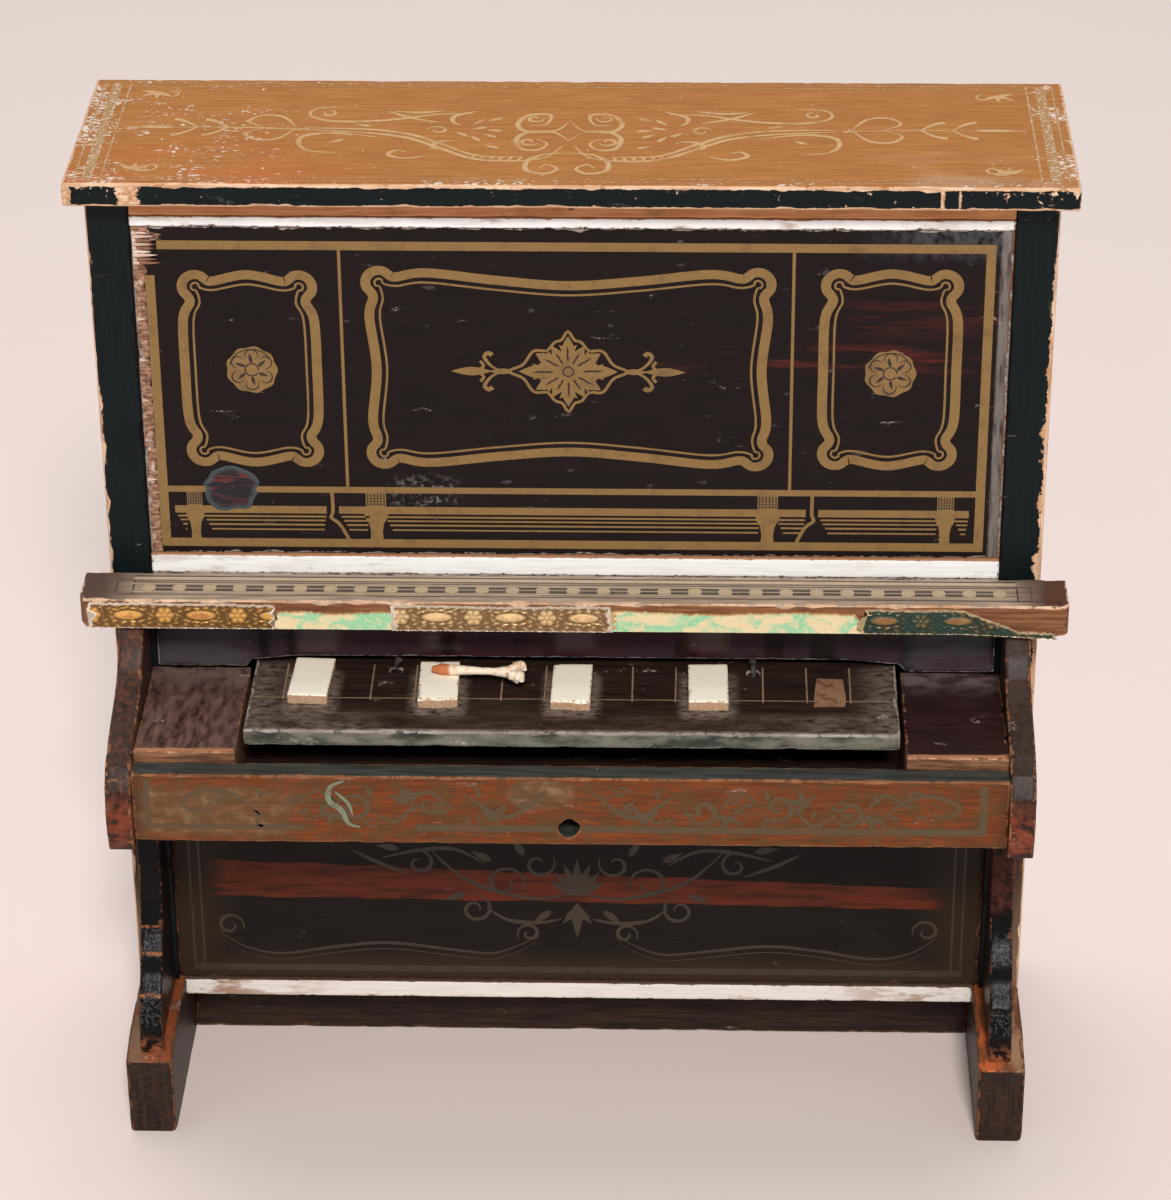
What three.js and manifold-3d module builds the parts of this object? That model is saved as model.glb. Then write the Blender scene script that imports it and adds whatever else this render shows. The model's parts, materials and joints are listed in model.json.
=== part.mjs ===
// Toy upright piano of thin lacquered boards, with one rocking keyboard board.
// Millimetres. +Z is up, the front faces -Y, and X runs along the keyboard.
// Everything is laid out from the front face of the case at Y = 0, and recentred at the end.

import * as THREE from 'three';
import { mergeVertices } from 'three/addons/utils/BufferGeometryUtils.js';
import Module from 'manifold-3d';

const wasm = await Module();
wasm.setup();

// ---- case ----
const CASE_HALF = 67.8;
const SIDE_THICK = 6.1;
const INNER_HALF = CASE_HALF - SIDE_THICK;
const CASE_DEPTH = 31;
const PANEL_THICK = 2.5;
const PANEL_RECESS = 0.5;
const BACK_THICK = 2.4;

// ---- lid ----
const LID_HALF = 70;
const LID_FRONT = -5.1;
const LID_BACK = 33.2;
const LID_THICK = 3.4;
const LID_TOP = 150.8;
const LID_UNDER = LID_TOP - LID_THICK;
const LID_BEVEL = 0.35;
const LID_CORNER = 1.0;

// ---- heights of the front, from the lid down ----
const TOP_RAIL_DEPTH = 3;
const STRIP_TOP = 143.9;
const UPPER_PANEL_TOP = 142.2;
const UPPER_PANEL_UNDER = 90.2;
const LEDGE_TOP = 87.1;
const LEDGE_UNDER = 82.35;
const LOWER_PANEL_UNDER = 15.3;
const STRIP_UNDER = 12.3;
const STRIP_DEPTH = 2.5;

// ---- music ledge ----
const LEDGE_HALF = 71.4;
const LEDGE_FRONT = -8.3;
const LEDGE_CHIP = 1.8;
const LEDGE_BEVEL = 0.4;
const TRIM_THICK = 0.35;
const PEEL_CLEAR = 0.05;

// ---- nameboard ----
const NAMEBOARD_UNDER = 71.3;
const ARCH_RISE = 1.9;
const ARCH_HALF = 48.6;
const ARCH_STEP = 0.9;
const ARCH_STEP_RISE = 1.2;
const ARCH_SHOULDER = 8.6;

// ---- key bed, rail and key blocks ----
const BED_UNDER = 58.5;
const BED_THICK = 4;
const BED_TOP = BED_UNDER + BED_THICK;
const BED_BACK = 24;
const RAIL_FRONT = -27.9;
const RAIL_THICK = 3.7;
const RAIL_BACK = RAIL_FRONT + RAIL_THICK;
const RAIL_TOP = 69.6;
const RAIL_HOLE_Z = 61.2;
const RAIL_HOLE_R = 1.5;
const BLOCK_TOP = 71.3;
const BLOCK_INNER = 47.9;

// ---- arms, legs and feet ----
const ARM_INNER = 62.5;
const ARM_THICK = 3.7;
const ARM_UNDER = 57.2;
const LEG_INNER = 62.3;
const LEG_THICK = 3.4;
const FOOT_INNER = 60.8;
const FOOT_TOP = 15;
const FOOT_FRONT = -18.9;
const FOOT_SHOULDER = -12.5;
const FOOT_FALL = 2;
const LEG_TOE = -17.3;

// ---- keyboard ----
const BOARD_HALF = 47.2;
const BOARD_FRONT = -19;
const BOARD_BACK = 17;
const BOARD_TOP = 71.8;
const BOARD_THICK = 2.5;
const BOARD_UNDER = BOARD_TOP - BOARD_THICK;
const KEY_PITCH = 6.36;
const FIRST_KEY_LINE = -42.3;
const KEY_LINES = 14;
const SCORE_Y = -11.5;
const GROOVE_WIDTH = 0.35;
const GROOVE_DEPTH = 0.25;
const RAISED_WIDTH = 5.8;
const RAISED_DEPTH = 10.8;
const RAISED_HEIGHT = 1.6;
const RAISED_BEVEL = 0.2;

// Centre line and rear edge of each raised key, as unevenly glued.
const RAISED_KEYS = [
  { x: -38.35, back: -0.8 },
  { x: -19.65, back: -1.6 },
  { x: -0.25, back: -2.0 },
  { x: 19.65, back: -1.7 },
];

// ---- balance rail, guide pins and the parts inside the case ----
const PIVOT_Y = -1.6;
const BALANCE_HALF_DEPTH = 2.2;
const BALANCE_SHOULDER = 2.4;
const BALANCE_HALF = 47;
const PIN_X = 26.3;
const PIN_R = 0.4;
const PIN_TOP = 73.9;
const PIN_ROOT = 64.5;
const PIN_CLEAR = 0.05;
const BOARD_HOLE_R = 0.85;
const REST_FRONT = 12.6;
const REST_BACK = 15.8;
const FELT_THICK = 0.8;
const SPRING_RAIL_FRONT = 3.2;
const SPRING_RAIL_BACK = 8.8;
const SPRING_RAIL_UNDER = 80;
const SPRING_RAIL_THICK = 4;
const SPRING_X = 30;
const SPRING_Y = 6;
const SPRING_R = 1.7;
const SPRING_WIRE_R = 0.3;
const SPRING_TURNS = 6;
const STRIKER_FRONT = 12.6;
const STRIKER_BACK = 14.4;
const STRIKER_HALF = 42;
const STRIKER_BASE_TOP = 74;
const STRIKER_PEG_TOP = 77.9;
const STRIKER_PEG_WIDTH = 2.4;
const TONE_HALF = 50;
const TONE_FRONT = 22;
const TONE_UNDER = 77;
const TONE_TOP = 84;
const TINE_Z = 80.3;
const TINE_R = 0.45;
const TINE_SET = 4;
const TINE_LONGEST = 12;
const TINE_STEP = 0.6;
const TINE_X = [-38.35, -19.65, -0.25, 19.65, 37.4];

// ---- base ----
const FLOOR_THICK = 3;
const KICK_FRONT = 8.7;
const KICK_THICK = 2.5;
const KICK_GAP = 0.3;

const ROUND_SIDES = 16;

// ---- materials ----

function finish(name, color, roughness, metalness = 0) {
  const material = new THREE.MeshStandardMaterial({ color, roughness, metalness });
  material.name = name;
  return material;
}

const lidLacquer = finish('lid_lacquer', 0xa8662f, 0.45);
const blackLacquer = finish('black_lacquer', 0x10141a, 0.35);
const rosewoodPrint = finish('rosewood_print', 0x2a1418, 0.45);
const redwoodPrint = finish('redwood_print', 0x55241a, 0.5);
const darkStain = finish('dark_stain', 0x2b1a16, 0.5);
const rawWood = finish('raw_wood', 0xb87a45, 0.75);
const whitePaper = finish('white_paper', 0xe8e2d6, 0.8);
const goldPaper = finish('gold_paper', 0xa9843c, 0.45, 0.5);
const greenPaper = finish('green_paper', 0x6f9465, 0.8);
const boneWhite = finish('bone_white', 0xefe3c8, 0.6);
const steel = finish('steel', 0x77777a, 0.4, 0.9);
const felt = finish('felt', 0x6d1f24, 0.95);

const piano = new THREE.Group();
piano.name = 'toy_upright_piano';

function add(name, geometry, material) {
  const mesh = new THREE.Mesh(geometry, material);
  mesh.name = name;
  piano.add(mesh);
}

// ---- shape helpers ----

// A rectangular board between two corners.
function board([x0, x1], [y0, y1], [z0, z1]) {
  const geometry = new THREE.BoxGeometry(x1 - x0, y1 - y0, z1 - z0);
  geometry.translate((x0 + x1) / 2, (y0 + y1) / 2, (z0 + z1) / 2);
  return geometry;
}

function outline(points) {
  return new THREE.Shape(points.map(([a, b]) => new THREE.Vector2(a, b)));
}

// A plan outline in X and Y, standing from z0 to z1, with a small bevel on every edge.
function plan(shape, z0, z1, bevel = 0) {
  const geometry = new THREE.ExtrudeGeometry(shape, {
    depth: z1 - z0 - 2 * bevel,
    bevelEnabled: bevel > 0,
    bevelSize: bevel,
    bevelOffset: -bevel,
    bevelThickness: bevel,
    bevelSegments: 1,
    curveSegments: ROUND_SIDES / 4,
  });
  geometry.translate(0, 0, z0 + bevel);
  return geometry;
}

// A front outline in X and Z, running back from y0 to y1.
function elevation(shape, y0, y1) {
  const geometry = new THREE.ExtrudeGeometry(shape, { depth: y1 - y0, bevelEnabled: false });
  geometry.rotateX(Math.PI / 2);
  geometry.translate(0, y1, 0);
  return geometry;
}

// A side outline in Y and Z, running from x0 to x1.
function profile(shape, x0, x1) {
  const geometry = new THREE.ExtrudeGeometry(shape, { depth: x1 - x0, bevelEnabled: false });
  const turn = new THREE.Matrix4().makeBasis(
    new THREE.Vector3(0, 1, 0),
    new THREE.Vector3(0, 0, 1),
    new THREE.Vector3(1, 0, 0),
  );
  geometry.applyMatrix4(turn);
  geometry.translate(x0, 0, 0);
  return geometry;
}

// A round pin standing from z0 to z1.
function uprightPin(x, y, z0, z1, radius) {
  const geometry = new THREE.CylinderGeometry(radius, radius, z1 - z0, ROUND_SIDES);
  geometry.rotateX(Math.PI / 2);
  geometry.translate(x, y, (z0 + z1) / 2);
  return geometry;
}

// A round rod lying front to back from y0 to y1.
function levelRod(x, z, y0, y1, radius) {
  const geometry = new THREE.CylinderGeometry(radius, radius, y1 - y0, ROUND_SIDES);
  geometry.translate(x, (y0 + y1) / 2, z);
  return geometry;
}

// Left and right copies of a piece that lies between two distances from the middle.
function pair(name, inner, outer, build, material) {
  add(`${name}_left`, build(-outer, -inner), material);
  add(`${name}_right`, build(inner, outer), material);
}

function toManifold(geometry) {
  const bare = geometry.clone();
  bare.deleteAttribute('normal');
  bare.deleteAttribute('uv');
  const welded = mergeVertices(bare, 1e-5);
  return new wasm.Manifold(new wasm.Mesh({
    numProp: 3,
    vertProperties: new Float32Array(welded.attributes.position.array),
    triVerts: new Uint32Array(welded.index.array),
  }));
}

function fromManifold(solid) {
  const mesh = solid.getMesh();
  const geometry = new THREE.BufferGeometry();
  geometry.setAttribute('position', new THREE.BufferAttribute(mesh.vertProperties, 3));
  geometry.setIndex(new THREE.BufferAttribute(mesh.triVerts, 1));
  geometry.computeVertexNormals();
  return geometry;
}

function cut(geometry, tools) {
  let solid = toManifold(geometry);
  for (const tool of tools) {
    solid = solid.subtract(toManifold(tool));
  }
  return fromManifold(solid);
}

// ---- lid, sides, back and floor of the case ----

function roundedPlate() {
  const left = -LID_HALF;
  const right = LID_HALF;
  const r = LID_CORNER;
  const shape = new THREE.Shape();
  shape.moveTo(left + r, LID_FRONT);
  shape.lineTo(right - r, LID_FRONT);
  shape.absarc(right - r, LID_FRONT + r, r, -Math.PI / 2, 0);
  shape.lineTo(right, LID_BACK - r);
  shape.absarc(right - r, LID_BACK - r, r, 0, Math.PI / 2);
  shape.lineTo(left + r, LID_BACK);
  shape.absarc(left + r, LID_BACK - r, r, Math.PI / 2, Math.PI);
  shape.lineTo(left, LID_FRONT + r);
  shape.absarc(left + r, LID_FRONT + r, r, Math.PI, 1.5 * Math.PI);
  return plan(shape, LID_UNDER, LID_TOP, LID_BEVEL);
}

function addCase() {
  add('lid', roundedPlate(), lidLacquer);
  pair('side', INNER_HALF, CASE_HALF,
    (x0, x1) => board([x0, x1], [0, CASE_DEPTH], [FOOT_TOP, LID_UNDER]), blackLacquer);
  const inside = [-INNER_HALF, INNER_HALF];
  add('back_board', board(inside, [CASE_DEPTH - BACK_THICK, CASE_DEPTH], [FOOT_TOP, LID_UNDER]), darkStain);
  const betweenFeet = [-FOOT_INNER, FOOT_INNER];
  add('floor_board',
    board(betweenFeet, [STRIP_DEPTH, CASE_DEPTH], [FOOT_TOP - FLOOR_THICK, FOOT_TOP]), darkStain);
  add('kick_rail',
    board(betweenFeet, [KICK_FRONT, KICK_FRONT + KICK_THICK], [KICK_GAP, FOOT_TOP - FLOOR_THICK]), darkStain);
}

// ---- front of the case ----

const NAIL_R = 0.45;
const NAIL_DEPTH = 2.2;
const NAIL_PROUD = 0.15;
const NAIL_Z = (STRIP_TOP + LID_UNDER) / 2;

function addFront() {
  const inside = [-INNER_HALF, INNER_HALF];
  const panelDepth = [PANEL_RECESS, PANEL_RECESS + PANEL_THICK];
  const nailHole = levelRod(0, NAIL_Z, -1, NAIL_DEPTH, NAIL_R + PIN_CLEAR);
  const topRail = board(inside, [0, TOP_RAIL_DEPTH], [STRIP_TOP, LID_UNDER]);
  add('top_rail', cut(topRail, [nailHole]), rawWood);
  add('top_rail_nail', levelRod(0, NAIL_Z, -NAIL_PROUD, NAIL_DEPTH, NAIL_R), steel);
  add('white_strip_top', board(inside, [0, STRIP_DEPTH], [UPPER_PANEL_TOP, STRIP_TOP]), whitePaper);
  add('upper_panel', board(inside, panelDepth, [UPPER_PANEL_UNDER, UPPER_PANEL_TOP]), rosewoodPrint);
  add('white_strip_middle', board(inside, [0, STRIP_DEPTH], [LEDGE_TOP, UPPER_PANEL_UNDER]), whitePaper);
  add('lower_panel', board(inside, panelDepth, [LOWER_PANEL_UNDER, BED_UNDER]), redwoodPrint);
  add('white_strip_bottom',
    board([-FOOT_INNER, FOOT_INNER], [0, STRIP_DEPTH], [STRIP_UNDER, LOWER_PANEL_UNDER]), whitePaper);
}

// The nameboard's lower edge is arched over the keyboard, with a short slope at each shoulder.
function addNameboard() {
  const archTop = NAMEBOARD_UNDER + ARCH_RISE;
  const shape = outline([
    [-INNER_HALF, NAMEBOARD_UNDER],
    [-ARCH_HALF, NAMEBOARD_UNDER],
    [-ARCH_HALF + ARCH_STEP, NAMEBOARD_UNDER + ARCH_STEP_RISE],
    [-ARCH_HALF + ARCH_SHOULDER, archTop],
    [ARCH_HALF - ARCH_SHOULDER, archTop],
    [ARCH_HALF - ARCH_STEP, NAMEBOARD_UNDER + ARCH_STEP_RISE],
    [ARCH_HALF, NAMEBOARD_UNDER],
    [INNER_HALF, NAMEBOARD_UNDER],
    [INNER_HALF, LEDGE_TOP],
    [-INNER_HALF, LEDGE_TOP],
  ]);
  add('nameboard', elevation(shape, 0, PANEL_THICK), rosewoodPrint);
}

// ---- music ledge and the remains of its embossed paper trim ----

function addLedge() {
  const shape = outline([
    [-LEDGE_HALF, 0],
    [-LEDGE_HALF, LEDGE_FRONT + LEDGE_CHIP],
    [-LEDGE_HALF + LEDGE_CHIP / 2, LEDGE_FRONT],
    [LEDGE_HALF - LEDGE_CHIP / 2, LEDGE_FRONT],
    [LEDGE_HALF, LEDGE_FRONT + LEDGE_CHIP / 2],
    [LEDGE_HALF, 0],
  ]);
  add('music_ledge', plan(shape, LEDGE_UNDER, LEDGE_TOP, LEDGE_BEVEL), redwoodPrint);
}

// A flat scrap of paper on the ledge's front face, torn at both ends.
// The edge heights are fractions of the ledge's face, from its lower edge.
function trimScrap(points) {
  const low = LEDGE_UNDER + LEDGE_BEVEL;
  const high = LEDGE_TOP - LEDGE_BEVEL;
  const shape = outline(points.map(([x, part]) => [x, low + part * (high - low)]));
  return elevation(shape, LEDGE_FRONT - TRIM_THICK, LEDGE_FRONT);
}

function addTrim() {
  add('trim_left', trimScrap([
    [-69.9, 0.0], [-46.2, 0.02], [-43.4, 0.3], [-45.0, 0.55], [-42.9, 0.8], [-44.4, 1.0],
    [-58.0, 0.97], [-69.6, 1.0],
  ]), goldPaper);
  add('trim_middle', trimScrap([
    [-25.4, 0.0], [3.6, 0.0], [5.3, 0.35], [4.2, 0.62], [5.6, 1.0], [-10.0, 0.96],
    [-25.8, 1.0], [-24.7, 0.5],
  ]), goldPaper);
  add('paper_scrap_left', trimScrap([
    [-42.2, 0.1], [-38.5, 0.02], [-33.0, 0.12], [-27.0, 0.0], [-26.2, 0.45], [-30.0, 0.72],
    [-36.5, 0.6], [-41.0, 0.75],
  ]), greenPaper);
  add('paper_scrap_right', trimScrap([
    [6.4, 0.0], [20.0, 0.06], [40.6, 0.0], [40.2, 0.6], [31.0, 0.78], [22.0, 0.62],
    [12.0, 0.8], [7.0, 0.7],
  ]), greenPaper);
  // The right-hand length has come away and its loose tail hangs under the ledge's end.
  const curl = -PEEL_CLEAR;
  const tail = trimScrap([
    [41.6, 0.0], [52.0, -0.02], [58.0, -0.1], [63.5, -0.16], [69.6, -0.3], [69.2, -0.18],
    [63.8, 0.12], [58.6, 0.42], [55.0, 0.8], [50.0, 1.0], [42.0, 0.97], [42.8, 0.5],
  ]);
  tail.translate(0, curl, 0);
  add('trim_right_peeling', tail, greenPaper);
}

// ---- key bed, front rail, key blocks ----

function addKeyBed() {
  const shape = outline([
    [-ARM_INNER, RAIL_BACK],
    [ARM_INNER, RAIL_BACK],
    [ARM_INNER, 0],
    [INNER_HALF, 0],
    [INNER_HALF, BED_BACK],
    [-INNER_HALF, BED_BACK],
    [-INNER_HALF, 0],
    [-ARM_INNER, 0],
  ]);
  add('key_bed', plan(shape, BED_UNDER, BED_TOP), darkStain);
  pair('key_block', BLOCK_INNER, ARM_INNER,
    (x0, x1) => board([x0, x1], [RAIL_BACK, 0], [BED_TOP, BLOCK_TOP]), rosewoodPrint);
}

// The front rail has one ragged round hole low in the middle.
function addFrontRail() {
  const shape = outline([
    [-ARM_INNER, BED_UNDER],
    [ARM_INNER, BED_UNDER],
    [ARM_INNER, RAIL_TOP],
    [-ARM_INNER, RAIL_TOP],
  ]);
  const raggedness = [1.0, 0.9, 1.08, 0.95, 1.1, 0.98, 0.88, 1.04, 1.12, 0.93, 1.02, 0.9];
  const hole = raggedness.map((scale, i) => {
    const angle = -2 * Math.PI * i / raggedness.length;
    const r = RAIL_HOLE_R * scale;
    return new THREE.Vector2(r * Math.cos(angle), RAIL_HOLE_Z + r * Math.sin(angle));
  });
  shape.holes.push(new THREE.Path(hole));
  add('front_rail', elevation(shape, RAIL_FRONT, RAIL_BACK), redwoodPrint);
}

// ---- arms, legs and feet, each sawn from thin board to a side outline of short facets ----

const ARM_OUTLINE = [
  [0, ARM_UNDER], [-28.4, ARM_UNDER], [-29.2, 59.5], [-29.6, 63.5], [-29.0, 67.3], [-27.0, 70.2],
  [-23.6, 72.0], [-19.0, 73.3], [-14.0, 74.6], [-10.6, 76.3], [-8.6, 78.9], [-6.9, LEDGE_UNDER],
  [0, LEDGE_UNDER],
];

// A foot's top falls gently forward from its shoulder, and the leg's toe stands on that slope.
const TOE_TOP = FOOT_TOP - FOOT_FALL * (FOOT_SHOULDER - LEG_TOE) / (FOOT_SHOULDER - FOOT_FRONT);

const LEG_OUTLINE = [
  [0, FOOT_TOP], [FOOT_SHOULDER, FOOT_TOP], [LEG_TOE, TOE_TOP], [-17.0, 17.5], [-15.4, 22.0],
  [-12.8, 24.6], [-11.6, 27.2], [-9.2, 30.6], [-7.7, 35.5], [-7.2, 46.0], [-7.4, ARM_UNDER],
  [0, ARM_UNDER],
];

const FOOT_OUTLINE = [
  [CASE_DEPTH, 0], [FOOT_FRONT, 0], [FOOT_FRONT, FOOT_TOP - FOOT_FALL], [FOOT_SHOULDER, FOOT_TOP],
  [CASE_DEPTH, FOOT_TOP],
];

function addSupports() {
  pair('arm', ARM_INNER, ARM_INNER + ARM_THICK,
    (x0, x1) => profile(outline(ARM_OUTLINE), x0, x1), darkStain);
  pair('leg', LEG_INNER, LEG_INNER + LEG_THICK,
    (x0, x1) => profile(outline(LEG_OUTLINE), x0, x1), darkStain);
  pair('foot', FOOT_INNER, CASE_HALF,
    (x0, x1) => profile(outline(FOOT_OUTLINE), x0, x1), darkStain);
}

// ---- the rocking keyboard ----

// One thin board, drilled for the two guide pins and scored with key lines.
function keyboardBoard() {
  const slab = board([-BOARD_HALF, BOARD_HALF], [BOARD_FRONT, BOARD_BACK], [BOARD_UNDER, BOARD_TOP]);
  const grooveZ = [BOARD_TOP - GROOVE_DEPTH, BOARD_TOP + 1];
  const half = GROOVE_WIDTH / 2;
  const tools = [board([-BOARD_HALF - 1, BOARD_HALF + 1], [SCORE_Y - half, SCORE_Y + half], grooveZ)];
  for (let i = 0; i < KEY_LINES; i += 1) {
    const x = FIRST_KEY_LINE + i * KEY_PITCH;
    tools.push(board([x - half, x + half], [SCORE_Y, 0], grooveZ));
  }
  for (const x of [-PIN_X, PIN_X]) {
    tools.push(uprightPin(x, PIVOT_Y, BOARD_UNDER - 1, BOARD_TOP + 1, BOARD_HOLE_R));
  }
  return cut(slab, tools);
}

function raisedKey({ x, back }) {
  const half = RAISED_WIDTH / 2;
  const shape = outline([
    [x - half, back - RAISED_DEPTH],
    [x + half, back - RAISED_DEPTH],
    [x + half, back],
    [x - half, back],
  ]);
  return plan(shape, BOARD_TOP, BOARD_TOP + RAISED_HEIGHT, RAISED_BEVEL);
}

// A strip on the keyboard's tail with one upright peg below each wire.
function striker() {
  const points = [[-STRIKER_HALF, BOARD_TOP], [STRIKER_HALF, BOARD_TOP], [STRIKER_HALF, STRIKER_BASE_TOP]];
  const half = STRIKER_PEG_WIDTH / 2;
  for (const x of [...TINE_X].reverse()) {
    points.push([x + half, STRIKER_BASE_TOP], [x + half, STRIKER_PEG_TOP]);
    points.push([x - half, STRIKER_PEG_TOP], [x - half, STRIKER_BASE_TOP]);
  }
  points.push([-STRIKER_HALF, STRIKER_BASE_TOP]);
  return elevation(outline(points), STRIKER_FRONT, STRIKER_BACK);
}

// ---- loose stick lying across the second raised key ----

const STICK_R = 0.85;
const STICK_LENGTH = 11.6;
const STICK_FORK = 2.4;
const STICK_FORK_SPREAD = 0.55;
const STICK_CENTRE = new THREE.Vector3(-14.9, -5.4, BOARD_TOP + RAISED_HEIGHT + STICK_R + 0.02);
const STICK_TURN = -0.1;

// A stick with a broken, forked end: one shaft joined to two short stubs.
function looseStick() {
  const shaft = new THREE.CylinderGeometry(STICK_R, STICK_R * 0.9, STICK_LENGTH, 10);
  shaft.rotateZ(Math.PI / 2);
  let solid = toManifold(shaft);
  for (const side of [-1, 1]) {
    const prong = new THREE.CylinderGeometry(STICK_R * 0.95, STICK_R * 0.8, STICK_FORK * 2, 10);
    prong.rotateZ(Math.PI / 2 + side * STICK_FORK_SPREAD);
    prong.rotateX(Math.PI / 2);
    prong.translate(STICK_LENGTH / 2, side * 0.7, 0);
    solid = solid.add(toManifold(prong));
  }
  const geometry = fromManifold(solid);
  geometry.rotateZ(STICK_TURN);
  geometry.translate(STICK_CENTRE.x, STICK_CENTRE.y, STICK_CENTRE.z);
  return geometry;
}

function addKeyboard() {
  add('keyboard_board', keyboardBoard(), darkStain);
  RAISED_KEYS.forEach((key, i) => add(`raised_key_${i + 1}`, raisedKey(key), boneWhite));
  add('striker_bar', striker(), rawWood);
  add('loose_stick', looseStick(), boneWhite);
}

// ---- what carries the keyboard and sounds inside the case ----

function addBalance() {
  const shape = outline([
    [PIVOT_Y - BALANCE_HALF_DEPTH, BED_TOP],
    [PIVOT_Y + BALANCE_HALF_DEPTH, BED_TOP],
    [PIVOT_Y + BALANCE_HALF_DEPTH, BOARD_UNDER - BALANCE_SHOULDER],
    [PIVOT_Y, BOARD_UNDER],
    [PIVOT_Y - BALANCE_HALF_DEPTH, BOARD_UNDER - BALANCE_SHOULDER],
  ]);
  const rail = profile(shape, -BALANCE_HALF, BALANCE_HALF);
  const sockets = [-PIN_X, PIN_X].map(
    (x) => uprightPin(x, PIVOT_Y, PIN_ROOT, BOARD_UNDER + 1, PIN_R + PIN_CLEAR));
  add('balance_rail', cut(rail, sockets), rawWood);
  add('guide_pin_left', uprightPin(-PIN_X, PIVOT_Y, PIN_ROOT, PIN_TOP, PIN_R), steel);
  add('guide_pin_right', uprightPin(PIN_X, PIVOT_Y, PIN_ROOT, PIN_TOP, PIN_R), steel);
  const width = [-BALANCE_HALF, BALANCE_HALF];
  const restTop = BOARD_UNDER - FELT_THICK;
  add('rest_rail', board(width, [REST_FRONT, REST_BACK], [BED_TOP, restTop]), rawWood);
  add('rest_felt', board(width, [REST_FRONT, REST_BACK], [restTop, BOARD_UNDER]), felt);
}

class Helix extends THREE.Curve {
  constructor(x, y, z0, z1, radius, turns) {
    super();
    Object.assign(this, { x, y, z0, z1, radius, turns });
  }

  getPoint(t, target = new THREE.Vector3()) {
    const angle = 2 * Math.PI * this.turns * t;
    return target.set(
      this.x + this.radius * Math.cos(angle),
      this.y + this.radius * Math.sin(angle),
      this.z0 + (this.z1 - this.z0) * t,
    );
  }
}

function coilSpring(x) {
  const wire = new THREE.Shape();
  wire.absarc(0, 0, SPRING_WIRE_R, 0, 2 * Math.PI);
  const lift = SPRING_WIRE_R + PIN_CLEAR;
  const path = new Helix(x, SPRING_Y, BOARD_TOP + lift, SPRING_RAIL_UNDER - lift, SPRING_R, SPRING_TURNS);
  return new THREE.ExtrudeGeometry(wire, {
    extrudePath: path,
    steps: SPRING_TURNS * 12,
    curveSegments: 3,
    bevelEnabled: false,
  });
}

function addSprings() {
  const rail = [SPRING_RAIL_UNDER, SPRING_RAIL_UNDER + SPRING_RAIL_THICK];
  add('spring_rail',
    board([-INNER_HALF, INNER_HALF], [SPRING_RAIL_FRONT, SPRING_RAIL_BACK], rail), rawWood);
  add('return_spring_left', coilSpring(-SPRING_X), steel);
  add('return_spring_right', coilSpring(SPRING_X), steel);
}

function addVoice() {
  const back = CASE_DEPTH - BACK_THICK;
  const block = board([-TONE_HALF, TONE_HALF], [TONE_FRONT, back], [TONE_UNDER, TONE_TOP]);
  const sockets = TINE_X.map(
    (x) => levelRod(x, TINE_Z, TONE_FRONT - 1, TONE_FRONT + TINE_SET, TINE_R + PIN_CLEAR));
  add('tone_block', cut(block, sockets), rawWood);
  TINE_X.forEach((x, i) => {
    const tip = TONE_FRONT - TINE_LONGEST + i * TINE_STEP;
    add(`tine_${i + 1}`, levelRod(x, TINE_Z, tip, TONE_FRONT + TINE_SET, TINE_R), steel);
  });
}

addCase();
addFront();
addNameboard();
addLedge();
addTrim();
addKeyBed();
addFrontRail();
addSupports();
addKeyboard();
addBalance();
addSprings();
addVoice();

// The frame's origin is under the middle of the whole object, on the floor.
const FRONT_MOST = Math.min(...ARM_OUTLINE.map(([y]) => y));
for (const mesh of piano.children) {
  mesh.geometry.translate(0, -(FRONT_MOST + LID_BACK) / 2, 0);
}

export default piano;
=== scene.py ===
"""Looks of a toy upright piano of thin lacquered boards, with gilt transfers and worn edges.

Lengths inside the drawing helpers are in millimetres, and everything handed to Blender is in metres.
"""

import json
import math

import bmesh
import bpy
from mathutils import Matrix, Vector, noise
from mathutils.geometry import tessellate_polygon


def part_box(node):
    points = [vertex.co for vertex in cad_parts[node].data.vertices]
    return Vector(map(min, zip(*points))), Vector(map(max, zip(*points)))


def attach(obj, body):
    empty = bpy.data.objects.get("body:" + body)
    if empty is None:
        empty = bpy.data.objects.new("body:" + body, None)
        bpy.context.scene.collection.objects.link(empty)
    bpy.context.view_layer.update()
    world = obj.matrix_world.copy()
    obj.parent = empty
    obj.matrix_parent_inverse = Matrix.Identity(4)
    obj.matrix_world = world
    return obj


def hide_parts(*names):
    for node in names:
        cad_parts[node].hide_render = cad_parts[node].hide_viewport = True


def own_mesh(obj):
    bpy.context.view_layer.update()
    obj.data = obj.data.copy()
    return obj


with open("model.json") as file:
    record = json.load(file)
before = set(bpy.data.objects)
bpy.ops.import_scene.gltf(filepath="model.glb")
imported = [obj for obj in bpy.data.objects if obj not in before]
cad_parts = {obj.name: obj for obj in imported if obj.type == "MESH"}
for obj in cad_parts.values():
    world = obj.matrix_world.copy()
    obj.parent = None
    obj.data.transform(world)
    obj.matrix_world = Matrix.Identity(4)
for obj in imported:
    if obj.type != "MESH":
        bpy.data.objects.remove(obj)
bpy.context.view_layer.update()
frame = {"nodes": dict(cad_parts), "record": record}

MM = 0.001

# ---- camera, lights and floor ----

IMAGE_HEIGHT = 1200
FOCAL_PIXELS = 4023.6
SENSOR = 36.0
CAMERA_PLACE = (0.01774, -0.51453, 0.37104)
CAMERA_DOWN = 29.31
CAMERA_YAW = 1.80
CAMERA_ROLL = -0.42
LIT_PLACE = (0, 0, 0.07)


def turn(degrees, axis):
    return Matrix.Rotation(math.radians(degrees), 4, axis)


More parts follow.
